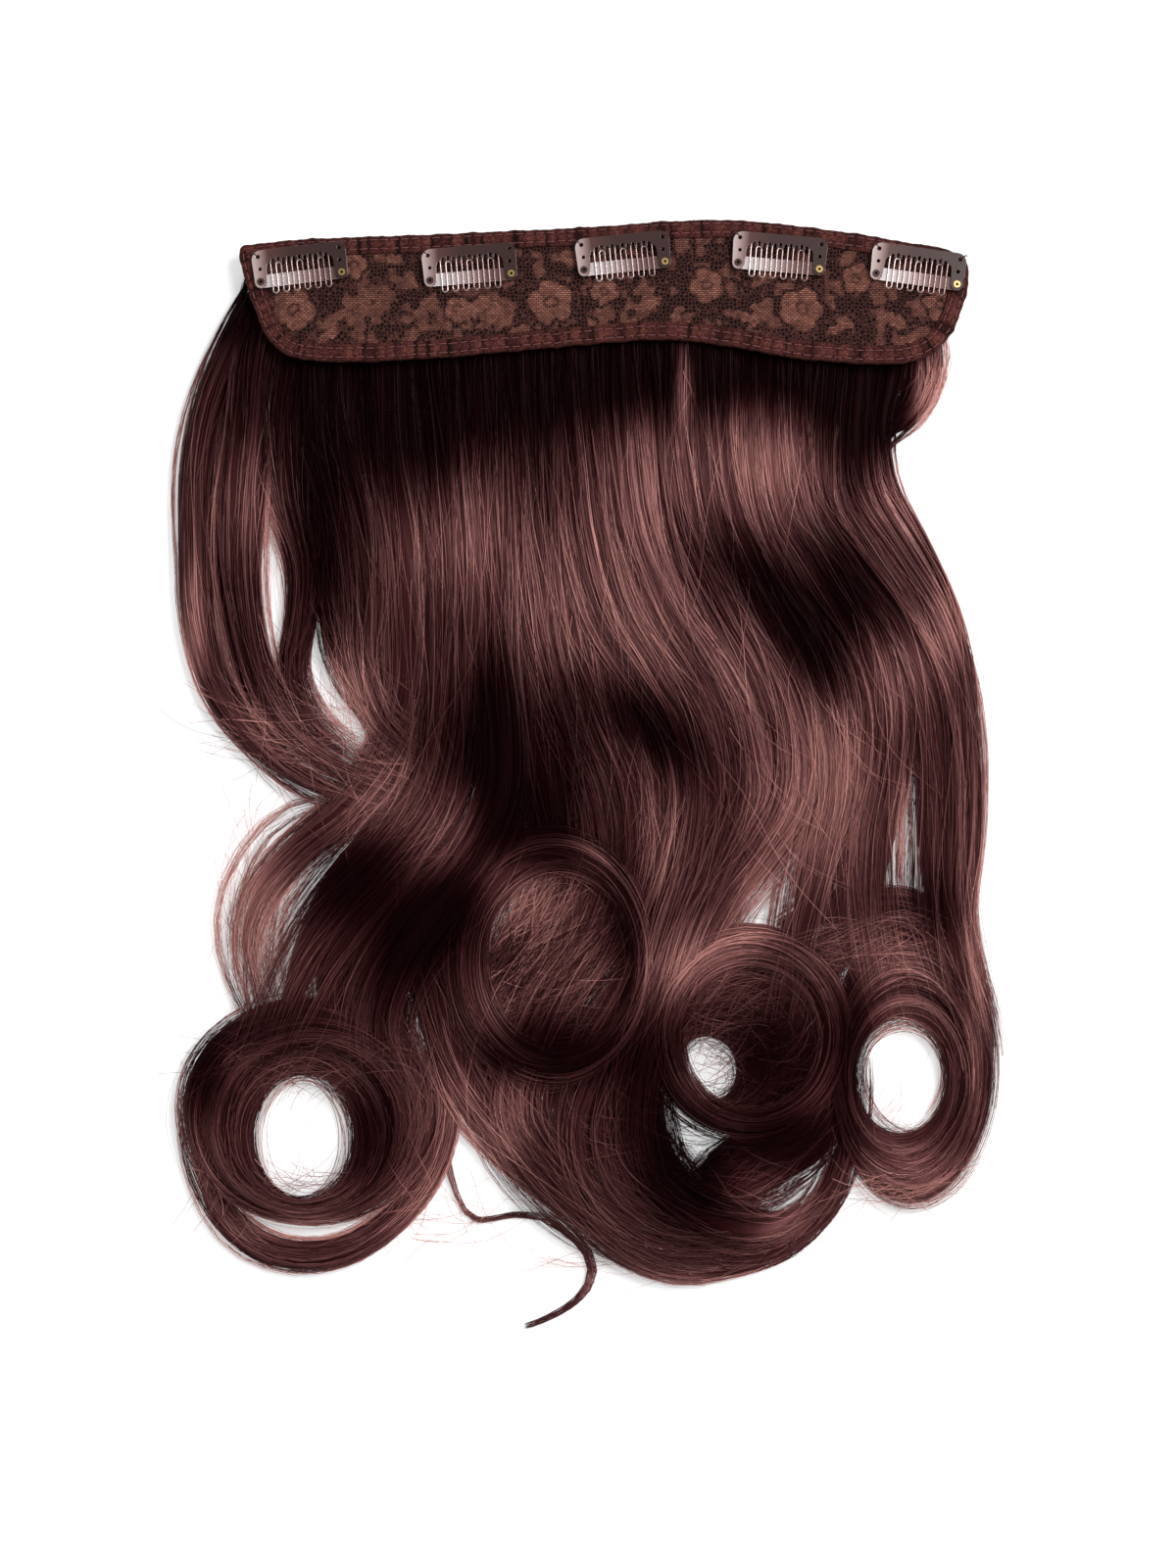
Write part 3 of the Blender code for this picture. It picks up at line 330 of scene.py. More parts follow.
def turned(u, v, degrees):
    """Coordinates read along and across a direction."""
    c, s = math.cos(math.radians(degrees)), math.sin(math.radians(degrees))
    return u * c + v * s, v * c - u * s


def tone_at(x, y):
    """How light the hair is painted at a place: even, with the soft patches of painted sheen and painted shade added.
    """
    across = (x / BAND_LENGTH + ORIGIN_ACROSS) / HUNDREDTH
    down = (ORIGIN_DOWN - y / FALL_LENGTH) / HUNDREDTH
    tone = np.full(np.shape(x), TONE_MIDDLE)
    for patch in PATCHES:
        along, over = turned(across - patch.across, down - patch.down, patch.turn)
        tone += patch.strength * np.exp(-((along / patch.wide) ** 2 + (over / patch.tall) ** 2) ** 1.3)
    return tone


def under_band(y, z):
    """Heights brought down where the band lies over the hair."""
    limit = EDGE_REST - np.maximum(y - BAND_Y, 0.0) * math.tan(BAND_TILT) - HAIR_UNDER_BAND
    share = clamp((y - BAND_Y + PRESS_FROM) / PRESS_LENGTH)
    return np.where(share > 0, z * (1 - share) + np.minimum(z, limit) * share, z)


def show(obj, node=None, material=None, smooth=True):
    """Puts a new piece into the scene on the one body, in the place of a solid."""
    bpy.context.scene.collection.objects.link(obj)
    if material is not None:
        obj.data.materials.append(material)
    if smooth:
        obj.data.polygons.foreach_set("use_smooth", np.ones(len(obj.data.polygons), bool))
    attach(obj, "root")
    if node is not None:
        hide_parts(node)
    return obj


def sheets_mesh(name, sheets, closed=False):
    """One object from sheets of points, each shaped (strips, along, across, 3) with its tones.
    Open sheets have a UV map with a row for each strip."""
    points, tones, quads, flat = [], [], [], []
    start, row = 0, 0
    rows = sum(grid.shape[0] for grid, _ in sheets)
    for grid, tone in sheets:
        strips, along, across = grid.shape[:3]
        index = start + np.arange(strips * along * across).reshape(strips, along, across)
        here, there = (index, np.roll(index, -1, axis=1)) if closed else (index[:, :-1], index[:, 1:])
        quad = np.stack([here[..., :-1], there[..., :-1], there[..., 1:], here[..., 1:]], axis=-1)
        quads.append(quad.reshape(-1, 4))
        points.append(grid.reshape(-1, 3))
        tones.append(np.broadcast_to(tone, grid.shape[:3]).reshape(-1))
        strip = row + np.arange(strips)[:, None, None]
        v = (strip + 0.1 + 0.8 * np.linspace(0, 1, across)) / rows
        u = 0.001 + 0.998 * np.linspace(0, 1, along)[:, None]
        flat.append(np.stack(np.broadcast_arrays(u, v), axis=-1).reshape(-1, 2))
        start += index.size
        row += strips
    points, tones, quads, flat = (np.concatenate(part) for part in (points, tones, quads, flat))
    mesh = bpy.data.meshes.new(name)
    mesh.vertices.add(len(points))
    mesh.vertices.foreach_set("co", points.astype(np.float32).ravel())
    mesh.loops.add(quads.size)
    mesh.loops.foreach_set("vertex_index", quads.astype(np.int32).ravel())
    mesh.polygons.add(len(quads))
    mesh.polygons.foreach_set("loop_start", np.arange(0, quads.size, 4, dtype=np.int32))
    mesh.update(calc_edges=True)
    mesh.attributes.new("tone", "FLOAT", "POINT").data.foreach_set("value", tones.astype(np.float32))
    if not closed:
        layer = mesh.uv_layers.new(name="OFBake")
        layer.data.foreach_set("uv", flat[quads.ravel()].astype(np.float32).ravel())
    return bpy.data.objects.new(name, mesh)


def strand_sheet(px, py, pz, tone_shift, thin=1.0):
    """Flat ribbons round strand centrelines, each rolled its own way and tinted by where it lies, with the painted
    sheen and shade of that place.
    """
    centres = np.stack([px, py, pz], axis=-1)
    strands, along = centres.shape[:2]
    twist = draw.normal(0, 0.75, (strands, 1))
    turn = angles(strands, 1)
    t = np.linspace(0, 1, along)
    roll = (twist + 0.35 * np.sin(turn + 5.0 * t))[..., None]
    half = draw.uniform(*STRAND_HALF_WIDTH, (strands, 1)) * thin * (1 - 0.6 * t ** 6)
    ahead = np.gradient(centres, axis=1)
    side = np.stack([-ahead[..., 1], ahead[..., 0], np.zeros((strands, along))], axis=-1)
    side /= np.maximum(np.linalg.norm(side, axis=-1, keepdims=True), 1e-9)
    reach = (side * np.cos(roll) + np.array((0.0, 0.0, 1.0)) * np.sin(roll)) * half[..., None]
    tone = tone_at(px, py)
    tone = tone + tone_shift * np.clip(0.35 + 1.6 * tone, 0.35, 1.5)
    return np.stack([centres - reach, centres + reach], axis=2), tone[..., None]


def clump_heights(which, clumps):
    """How high each strand lies in its lock, from 0 to 1, with the strands of a clump together."""
    return (0.7 * draw.beta(1.8, 0.9, (clumps,))[which] + draw.uniform(0, 0.3, len(which)))[:, None]


def clump_tones(which, clumps, share):
    """Shifts of tone, a strand's own and a share of them for its clump."""
    own = draw.normal(0, TONE_SPREAD, (len(which), 1))
    return own + draw.normal(0, share * TONE_SPREAD, (clumps,))[which][:, None]


class Route:
    """A tress's middle line at even spaces, with sideways directions, half widths and lifts."""

    def __init__(self, tress, count=400):
        shares = np.linspace(0, 1, count)
        x, y = plan(*smooth_rows(tress.route, shares).T)
        travelled = np.concatenate([[0.0], np.cumsum(np.hypot(np.diff(x), np.diff(y)))])
        even = np.interp(np.linspace(0, travelled[-1], count), travelled, shares)
        x, y = plan(*smooth_rows(tress.route, even).T)
        ahead = np.stack([np.gradient(x), np.gradient(y)], axis=-1)
        ahead /= np.linalg.norm(ahead, axis=-1, keepdims=True)
        self.shares, self.x, self.y, self.length = shares, x, y, travelled[-1]
        self.side_x, self.side_y = -ahead[:, 1], ahead[:, 0]
        self.half = 0.5 * MM * smooth_rows(tress.widths, shares)[:, 0]
        self.lift = MM * smooth_rows(tress.lift, shares)[:, 0]
        self.mean_width = float(np.mean(tress.widths))

    def read(self, name, s):
        return np.interp(s, self.shares, getattr(self, name))

    def beside(self, s, reach):
        """Places at shares of the way along, reaching so far to the side."""
        return (self.read("x", s) + self.read("side_x", s) * reach,
                self.read("y", s) + self.read("side_y", s) * reach)


def tress_sheet(tress):
    """The strands of one lock, gathered into clumps that wander together."""
    route = Route(tress)
    strands = max(24, int(STRANDS_PER_METRE * THIN_LOCKS.get(tress.name, 1.0) * MM * route.mean_width))
    along = max(10, int(route.length / STRAND_STEP))
    clumps = max(4, strands // 16)
    which = draw.integers(clumps, size=strands)
    middle = np.linspace(-1.0, 1.0, clumps)[which] + draw.normal(0, 0.06, strands)
    first = draw.uniform(0, 0.04, (strands, 1))
    last = 1 - 0.22 * draw.beta(1.0, 4.0, (strands, 1))
    s = first + (last - first) * np.linspace(0, 1, along)
    phase = angles(clumps, 2)[which]
    wander = 0.10 * np.sin(phase[:, :1] + 7 * s) + 0.06 * np.sin(phase[:, 1:] + 15 * s)
    own = angles(strands, 1)
    wander += 0.05 * np.sin(own + 11 * s) + 0.10 * (s ** 3) * np.sin(own * 3)
    u = middle[:, None] + wander
    bulge = np.maximum(1 - 0.5 * np.minimum(np.abs(u), 1.15) ** 2.5, 0.1)
    px, py = route.beside(s, route.read("half", s) * u)
    pz = 0.0004 + route.read("lift", s) + tress.depth * MM * clump_heights(which, clumps) * bulge
    pz = under_band(py, np.maximum(pz + 0.0004 * np.sin(own + 23 * s), LOWEST))
    shift = clump_tones(which, clumps, 0.6)
    # Painted light: the outer strands of these locks are lightened.
    if tress.name in LIT_EDGES:
        shift = shift + 0.50 * clamp((np.abs(u) - 0.80) / 0.25)
    return strand_sheet(px, py, pz, shift)


def flyaway_sheet(tress):
    """A few strands that leave their lock and lie loose beside or over it."""
    route = Route(tress)
    strands = max(4, int(FLYAWAY_SHARE * STRANDS_PER_METRE * MM * route.mean_width))
    t = np.linspace(0, 1, max(12, int(route.length / STRAND_STEP)))
    first = draw.uniform(0, 0.7, (strands, 1))
    s = first + np.minimum(draw.uniform(0.25, 0.9, (strands, 1)), 1 - first) * t
    own = angles(strands, 2)
    away = np.sin(own[:, :1] + 6 * s) + 0.6 * np.sin(own[:, 1:] + 13 * s)
    u = draw.uniform(-1.1, 1.1, (strands, 1))
    px, py = route.beside(s, route.read("half", s) * u + FLYAWAY_DRIFT * away * clamp(3 * t))
    py = np.minimum(py, BAND_Y + PRESS_FROM)
    high = 0.35 + 0.75 * np.abs(np.sin(own[:, :1] + 4 * s))
    pz = 0.0006 + route.read("lift", s) + tress.depth * MM * high
    # The loose strands are lightened by a fixed shift as painted light.
    return strand_sheet(px, py, under_band(py, pz), 0.30, 0.50)


def wisp_sheet(wisps):
    """Stray strands laid across a patch of the hair."""
    x, y = plan(wisps.across, wisps.down)
    count, along = wisps.count, max(8, int(wisps.long / WISP_STEP))
    out = np.sqrt(draw.uniform(0, 1, (count, 1)))
    around = angles(count, 1)
    t = np.linspace(-0.5, 0.5, along)
    heading = np.radians(wisps.turn + draw.normal(0, wisps.spread, (count, 1)))
    bend = np.radians(draw.normal(wisps.bend, 20 + 0.4 * abs(wisps.bend), (count, 1)))
    heading = heading + bend * t + 0.12 * np.sin(8 * t + around)
    step = MM * wisps.long * draw.uniform(0.5, 1.3, (count, 1)) / along
    px, py = np.cumsum(np.cos(heading) * step, axis=1), np.cumsum(np.sin(heading) * step, axis=1)
    px += x + MM * wisps.wide * out * np.cos(around) - px.mean(axis=1, keepdims=True)
    py += y + MM * wisps.tall * out * np.sin(around) - py.mean(axis=1, keepdims=True)
    pz = MM * (wisps.lift + draw.normal(0, 0.8, (count, 1)) + 0.8 * np.cos(5 * t + around))
    pz = under_band(py, np.maximum(pz, 0.0004))
    # The wisp's tone shift, painted light where it is above zero, with each strand's own random difference.
    return strand_sheet(px, py, pz, wisps.tone + draw.normal(0, TONE_SPREAD, (count, 1)), 0.75)


def coil_points(coil, rho, angle):
    """Places round a ringlet, from its outer edge at 0 to its hole at 1."""
    x, y = plan(coil.across, coil.down)
    hole_x, hole_y = plan(coil.hole_across, coil.hole_down)
    px = x + (hole_x - x) * rho + MM * (coil.outer_x + (coil.hole_x - coil.outer_x) * rho) * np.cos(angle)
    py = y + (hole_y - y) * rho + MM * (coil.outer_y + (coil.hole_y - coil.outer_y) * rho) * np.sin(angle)
    return px, py


def coil_sheet(coil, loose=False):
    """The strands of one ringlet: arcs round an oval that drift inwards and cross each other.
    Loose ones are a few thin strands that stray from it."""
    band = 0.5 * (coil.outer_x - coil.hole_x + coil.outer_y - coil.hole_y) * MM
    strands = int(STRANDS_PER_METRE * coil.weight * band)
    if loose:
        strands = max(8, strands // 14)
    around = math.pi * 0.5 * (coil.outer_x + coil.outer_y) * MM
    t = np.linspace(0, 1, int(1.5 * around / COIL_STEP))
    clumps = max(6, strands // 14)
    which = draw.integers(clumps, size=strands)
    begin = (angles(clumps)[which] + draw.normal(0, 0.3, strands))[:, None]
    angle = begin + draw.uniform(3.4, 6.6, (strands, 1)) * t
    into = np.linspace(0.0, 1.0, clumps)[draw.permutation(clumps)][which]
    into = into[:, None] + draw.normal(0, 0.05, (strands, 1))
    inward = draw.uniform(-0.30, 0.42, (clumps,))[which][:, None]
    rho = into + inward * (t - 0.5) + 0.05 * np.sin(begin * 5 + 6 * t)
    if loose:
        rho = rho + draw.normal(0, 0.35, (strands, 1)) * (t - 0.3)
    rho = np.clip(rho, -0.35 if loose else -0.06, 1.06)
    shake = draw.normal(0, 0.0011, (clumps, 2))[which]
    px, py = coil_points(coil, rho, angle)
    px, py = px + shake[:, :1], py + shake[:, 1:]
    bulge = np.maximum(1 - 0.65 * np.abs(2 * clamp(rho) - 1) ** 2.2, 0.1)
    pz = MM * (0.4 + coil.lift + coil.depth * clump_heights(which, clumps) * bulge)
    pz = np.maximum(pz + 0.0006 * np.sin(begin * 3 + 9 * t), LOWEST)
    shift = clump_tones(which, clumps, 0.9)
    # Painted light along the inner and outer edges of the low ringlets.
    if coil.lift < 1.5:
        shift = shift + 0.5 * clamp((np.abs(2 * rho - 1) - 0.93) / 0.10)
    # Loose strands are lightened by a fixed shift as painted light.
    return strand_sheet(px, py, pz, 0.32 if loose else shift, 0.5 if loose else 1.0)


def core_sheets():
    """The body of the locks and ringlets that shows between the strands, painted darker than the strands as shade."""
    u = np.sin(np.linspace(-0.5 * math.pi, 0.5 * math.pi, CORE_SIDES))[None, :]
    bulge = np.sqrt(np.maximum(1 - u ** 2, 0.0))
    sheets = []
    for tress in TRESSES:
        if tress.depth < 3.5:
            continue
        route = Route(tress)
        s = np.linspace(0.015, 0.93, max(10, int(route.length / CORE_STEP)))[:, None]
        ends = np.clip(4.5 * np.minimum(s / 0.93 + 0.1, 1.0 - s / 0.96), 0.15, 1.0)
        px, py = route.beside(s, route.read("half", s) * (0.86 * u) * ends)
        pz = 0.0005 + route.read("lift", s) + 0.62 * tress.depth * MM * bulge
        sheets.append((px, py, under_band(py, pz) - 0.0002))
    angle = np.linspace(0, 2 * math.pi, 73)[:, None]
    for coil in COILS:
        if coil.weight < 0.5:
            continue
        px, py = coil_points(coil, 0.5 + 0.44 * u, angle)
        pz = MM * (0.5 + coil.lift + 0.60 * coil.depth * bulge)
        sheets.append((px, py, np.broadcast_to(pz, px.shape)))
    return [(np.stack(place, axis=-1)[None], (tone_at(*place[:2]) - CORE_PAINTED_SHADE)[None]) for place in sheets]


def set_inputs(node, **values):
    """Sets a node's own sockets. An underscore in a socket's name stands for a space."""
    for name, value in values.items():
        node.inputs[name.replace("_", " ")].default_value = value
    return node


def shader_of(material):
    return material.node_tree.nodes["Principled BSDF"]


def new_material(name, colour, roughness, metallic=0.0, specular=0.5, coat=0.0):
    made = bpy.data.materials.new(name)
    made.use_nodes = True
    set_inputs(shader_of(made), Base_Color=(*colour, 1.0), Roughness=roughness, Metallic=metallic,
               Specular_IOR_Level=specular, Coat_Weight=coat, Coat_Roughness=0.12)
    return made


def add_node(material, kind, settings=(), **values):
    node = material.node_tree.nodes.new("ShaderNode" + kind)
    for key, value in dict(settings).items():
        setattr(node, key, value)
    return set_inputs(node, **values)


def tone_node(material):
    return add_node(material, "Attribute", {"attribute_name": "tone"})


def wire(material, *links):
    """Links between nodes, each given as (node, output, node, input)."""
    for source, output, target, slot in links:
        material.node_tree.links.new(source.outputs[output], target.inputs[slot])


def ramp(material, stops):
    """A colour ramp node with (place, colour) stops."""
    node = add_node(material, "ValToRGB")
    elements = node.color_ramp.elements
    while len(elements) > 1:
        elements.remove(elements[-1])
    elements[0].position, elements[0].color = stops[0][0], (*stops[0][1], 1.0)
    for place, colour in stops[1:]:
        elements.new(place).color = (*colour, 1.0)
    return node


def noise_at(material, scale, detail):
    """Noise on the piece's own coordinates."""
    noise = add_node(material, "TexNoise", Scale=scale, Detail=detail)
    wire(material, (add_node(material, "TexCoord"), "Object", noise, "Vector"))
    return noise


def add_bump(material, source, output, strength):
    bump = add_node(material, "Bump", Strength=strength, Distance=BUMP_HEIGHT)
    wire(material, (source, output, bump, "Height"), (bump, "Normal", shader_of(material), "Normal"))


def hair_material(name, roughness, streaks):
    """Mahogany fibre, from near black to a rosy brown by the tone of the place, which carries painted sheen and
    shade as well as the strands' own differences, and glossier where it is lighter."""
    made = new_material(name, (0.05, 0.02, 0.02), roughness, specular=0.22)
    shader = set_inputs(shader_of(made), Specular_Tint=(1.0, 0.60, 0.55, 1.0))
    tone = tone_node(made)
    colours = ramp(made, [
        (0.00, (0.0045, 0.0003, 0.0008)), (0.22, (0.0115, 0.0012, 0.0020)),
        (0.42, (0.042, 0.0085, 0.0104)), (0.62, (0.112, 0.037, 0.038)),
        (0.82, (0.225, 0.090, 0.085)), (1.00, (0.460, 0.205, 0.180)),
    ])
    if streaks:
        shift = add_node(made, "Math", {"operation": "MULTIPLY_ADD"})
        shift.inputs[1].default_value = streaks
        wire(made, (noise_at(made, 900.0, 3.0), "Fac", shift, 0), (tone, "Fac", shift, 2),
             (shift, "Value", colours, "Fac"))
    else:
        wire(made, (tone, "Fac", colours, "Fac"))
    gloss = add_node(made, "MapRange", From_Min=0.10, From_Max=0.80, To_Min=0.04, To_Max=0.42)
    wire(made, (colours, "Color", shader, "Base Color"), (tone, "Fac", gloss, "Value"),
         (gloss, "Result", shader, "Specular IOR Level"))
    return made


def build_hair():
    """The body, seven groups of locks, the ringlets and the loose strands, all for the one solid."""
    strand = hair_material("hair_strand", 0.40, 0.0)
    body = hair_material("hair_body", 0.5, 0.12)
    groups = {
        "hair_left": "left_outer left_inner left_split left_under left_centre mid_left",
        "hair_wave": "wave_under wave_outer wave_inner centre_under",
        "hair_centre": "centre_bed ring_bed centre_left centre_one",
        "hair_middle": "centre_two centre_three",
        "hair_right": "right_one right_two right_three right_fall",
        "hair_edge": "right_edge right_loop tail thin_strand left_wisp left_veil ring_feed right_arc right_over",
        "hair_low": "low_under low_left low_arc low_middle low_fill low_edge",
    }
    by_name = {tress.name: tress for tress in TRESSES}
    half = len(COILS) // 2
    show(sheets_mesh("hair_body", core_sheets()), "hair", body)
    for name, members in groups.items():
        sheets = [tress_sheet(by_name[member]) for member in members.split()]
        show(sheets_mesh(name, sheets), "hair", strand)
    for name, coils in (("ringlets_left", COILS[:half]), ("ringlets_right", COILS[half:])):
        show(sheets_mesh(name, [coil_sheet(coil) for coil in coils]), "hair", strand)
    loose = [flyaway_sheet(tress) for tress in TRESSES if tress.depth > 2]
    loose += [coil_sheet(coil, loose=True) for coil in COILS]
    loose += [wisp_sheet(wisps) for wisps in WISPS]
    show(sheets_mesh("hair_loose", loose), "hair", strand)


def band_point(along, up):
    """A point of the band's plane from shares of its length and height."""
    return Vector(((along - ORIGIN_ACROSS) * BAND_LENGTH, up * BAND_HEIGHT, 0.0))


def band_loop(spacing):
    """The band's edge, clockwise from its top left corner, at even spaces: how far round, places
    and directions inwards."""
    top = [band_point(s.along, s.top) for s in BAND_SECTIONS]
    bottom = [band_point(s.along, s.bottom) for s in BAND_SECTIONS]
    corners = np.array([tuple(p)[:2] for p in [*top, *reversed(bottom)]])
    corners = np.concatenate([corners, corners[:1]])
    for _ in range(4):
        cut = np.stack([0.8 * corners[:-1] + 0.2 * corners[1:], 0.2 * corners[:-1] + 0.8 * corners[1:]], 1)
        corners = cut.reshape(-1, 2)
        corners = np.concatenate([corners, corners[:1]])
    gone = np.concatenate([[0.0], np.cumsum(np.hypot(*np.diff(corners, axis=0).T))])
    even = np.linspace(0, gone[-1], int(gone[-1] / spacing), endpoint=False)
    x, y = np.interp(even, gone, corners[:, 0]), np.interp(even, gone, corners[:, 1])
    dx, dy = np.roll(x, -1) - np.roll(x, 1), np.roll(y, -1) - np.roll(y, 1)
    size = np.hypot(dx, dy)
    return even, x, y, dy / size, -dx / size


def loop_distance(x, y):
    """How far points of the band's plane lie from its edge."""
    _, ex, ey, _, _ = band_loop(0.002)
    nearest = np.full(x.shape, 1.0)
    for px, py in zip(ex, ey):
        nearest = np.minimum(nearest, (x - px) ** 2 + (y - py) ** 2)
    return np.sqrt(nearest)


def to_band(points):
    """Points of the band's plane moved into the row frame."""
    turn = np.array(BAND_MATRIX)
    return points @ turn[:3, :3].T + turn[:3, 3]


def creases(even, seed):
    """How deep the sharp folds are along an edge, at uneven spaces of 3 to 12 mm."""
    numbers = np.random.default_rng(seed)
    deep = np.zeros_like(even)
    place = even.min()
    while place < even.max():
        place += numbers.uniform(0.0030, 0.0120)
        deep += numbers.uniform(0.1, 1.0) ** 1.5 * hump(even - place, CREASE_HALF_WIDTH)
    return np.clip(deep, 0, 0.8)


def puckers(even):
    """The gathers along the tape, as shares from -1 to 1: round swellings between sharp creases."""
    waves = np.zeros_like(even)
    for length, size in ((0.0170, 0.45), (0.0092, 0.35), (0.0041, 0.30)):
        drift = 1.6 * np.sin(even * 55 + size * 20)
        waves += size * (2 * np.abs(np.sin(math.pi * even / length + drift)) ** 0.55 - 1.25)
    return waves


def build_tape():
    """The folded tape: a profile of (depth inwards, height) in millimetres, swept round the band."""
    even, x, y, nx, ny = band_loop(TAPE_STEP)
    waves = puckers(even)
    profile = np.array([
        (6.2, 2.30), (6.25, 2.62), (5.9, 2.86), (5.2, 2.93), (4.55, 2.76), (4.0, 2.95), (2.9, 3.02),
        (2.1, 2.95), (1.5, 2.78), (0.9, 2.95), (0.35, 2.75), (0.02, 2.2), (0.0, 1.4), (0.1, 0.6),
        (0.5, 0.15), (2.0, 0.0), (6.2, 0.0),
    ]) * MM
    depth, height = profile[:, 0][None, :], profile[:, 1][None, :]
    outward = 1 - clamp(depth / TAPE_WIDTH)
    upper = clamp(height / TAPE_DEPTH)
    folds = waves[:, None] * (0.25 + 0.75 * np.sin(math.pi * clamp(depth / TAPE_WIDTH)))
    edge = depth + 0.00040 * outward * waves[:, None] + 0.00030 * (1 - outward) * np.roll(waves, 9)[:, None]
    px, py = x[:, None] + nx[:, None] * edge, y[:, None] + ny[:, None] * edge
    rows = sum(hump(depth - inset, 0.0005) for inset in SEWN_ROWS)
    sharp = creases(even, 9)[:, None] * clamp(0.35 + depth / 0.0040)
    rise = height + PUCKER_HEIGHT * folds * upper
    rise = rise - 0.00045 * sharp * upper
    # Painted light on the round swellings of the gathers and painted shade in the sharp creases; darker along the
    # sewn rows.
    tone = 0.43 + 0.34 * folds - 0.22 * rows - 0.85 * sharp
    grid = to_band(np.stack([px, py, rise], axis=-1))[None]
    tape = tape_material()
    show(sheets_mesh("tape_gathered", [(grid, tone[None])], closed=True), "edge_tape", tape)


def tape_material():
    """Cloth tinted by the painted light and shade of its folds, with fine grain added."""
    made = new_material("tape_cloth", (0.08, 0.028, 0.024), 0.95, specular=0.12)
    colours = ramp(made, [
        (0.0, (0.004, 0.0010, 0.0010)), (0.30, (0.021, 0.0048, 0.0043)), (0.55, (0.056, 0.0150, 0.0122)),
        (0.95, (0.145, 0.046, 0.034))])
    tone = tone_node(made)
    noise = noise_at(made, 1500.0, 2.0)
    less = add_node(made, "Math", {"operation": "SUBTRACT"})
    add = add_node(made, "Math", {"operation": "MULTIPLY_ADD"})
    less.inputs[1].default_value = 0.5
    add.inputs[1].default_value = 1.1
    wire(made, (noise, "Fac", less, 0), (less, "Value", add, 0), (tone, "Fac", add, 2),
         (add, "Value", colours, "Fac"), (colours, "Color", shader_of(made), "Base Color"))
    add_bump(made, noise, "Fac", 0.5)
    return made


def value_noise(x, y, length, seed):
    """Smooth random values from 0 to 1 with blotches of about a given length."""
    table = np.random.default_rng(seed).uniform(0, 1, (256, 256))
    u, v = x / length + 64, y / length + 64
    i, j = np.floor(u).astype(int) % 255, np.floor(v).astype(int) % 255
    s, t = u % 1, v % 1
    s, t = s * s * (3 - 2 * s), t * t * (3 - 2 * t)
    low = table[i, j] * (1 - s) + table[i + 1, j] * s
    high = table[i, j + 1] * (1 - s) + table[i + 1, j + 1] * s
    return low * (1 - t) + high * t


def lace_pattern(x, y):
    """How much cloth-work there is at a place of the lace: 1 in a flower, 0 in open net."""
    x = x + 0.0016 * (value_noise(x, y, 0.0021, 11) - 0.5)
    y = y + 0.0016 * (value_noise(x, y, 0.0021, 12) - 0.5)
    along = x / BAND_LENGTH + ORIGIN_ACROSS
    up = y / BAND_HEIGHT

    def away(form):
        return (along - form.along) * BAND_LENGTH / MM, (up - form.up) * BAND_HEIGHT / MM

    blotch = 0.55 * value_noise(x, y, 0.0056, 3) + 0.45 * value_noise(x, y, 0.0024, 4)
    cloth = 0.60 * clamp((blotch - 0.57) / 0.04)
    for flower in FLOWERS:
        u, v = away(flower)
        r, a = np.hypot(u, v), np.arctan2(v, u) + math.radians(flower.turn)
        rim = flower.size * (0.76 + 0.24 * np.abs(np.cos(2.5 * a)) ** 0.7)
        inside = clamp((rim - r) / 0.5)
        cloth = cloth * clamp((r - rim - 0.8) / 0.6)
        seam = clamp(1.2 - r * np.abs(np.sin(2.5 * a + 0.5 * math.pi)) / 0.7) * (r > 0.34 * flower.size)
        ring = hump(r - 0.24 * flower.size, 0.55)
        cloth = np.maximum(cloth, inside * (1 - 0.65 * seam) * (1 - 0.9 * ring))
    for leaf in LEAVES:
        p, q = turned(*away(leaf), leaf.turn)
        rim = leaf.wide * np.sqrt(np.maximum(1 - (p / leaf.long) ** 2, 0)) * (1 + 0.25 * np.sin(2.2 * p))
        inside = clamp((rim - np.abs(q)) / 0.5) * (np.abs(p) < leaf.long)
        cloth = np.maximum(cloth, inside * (1 - 0.5 * hump(q, 0.35)))
    return cloth


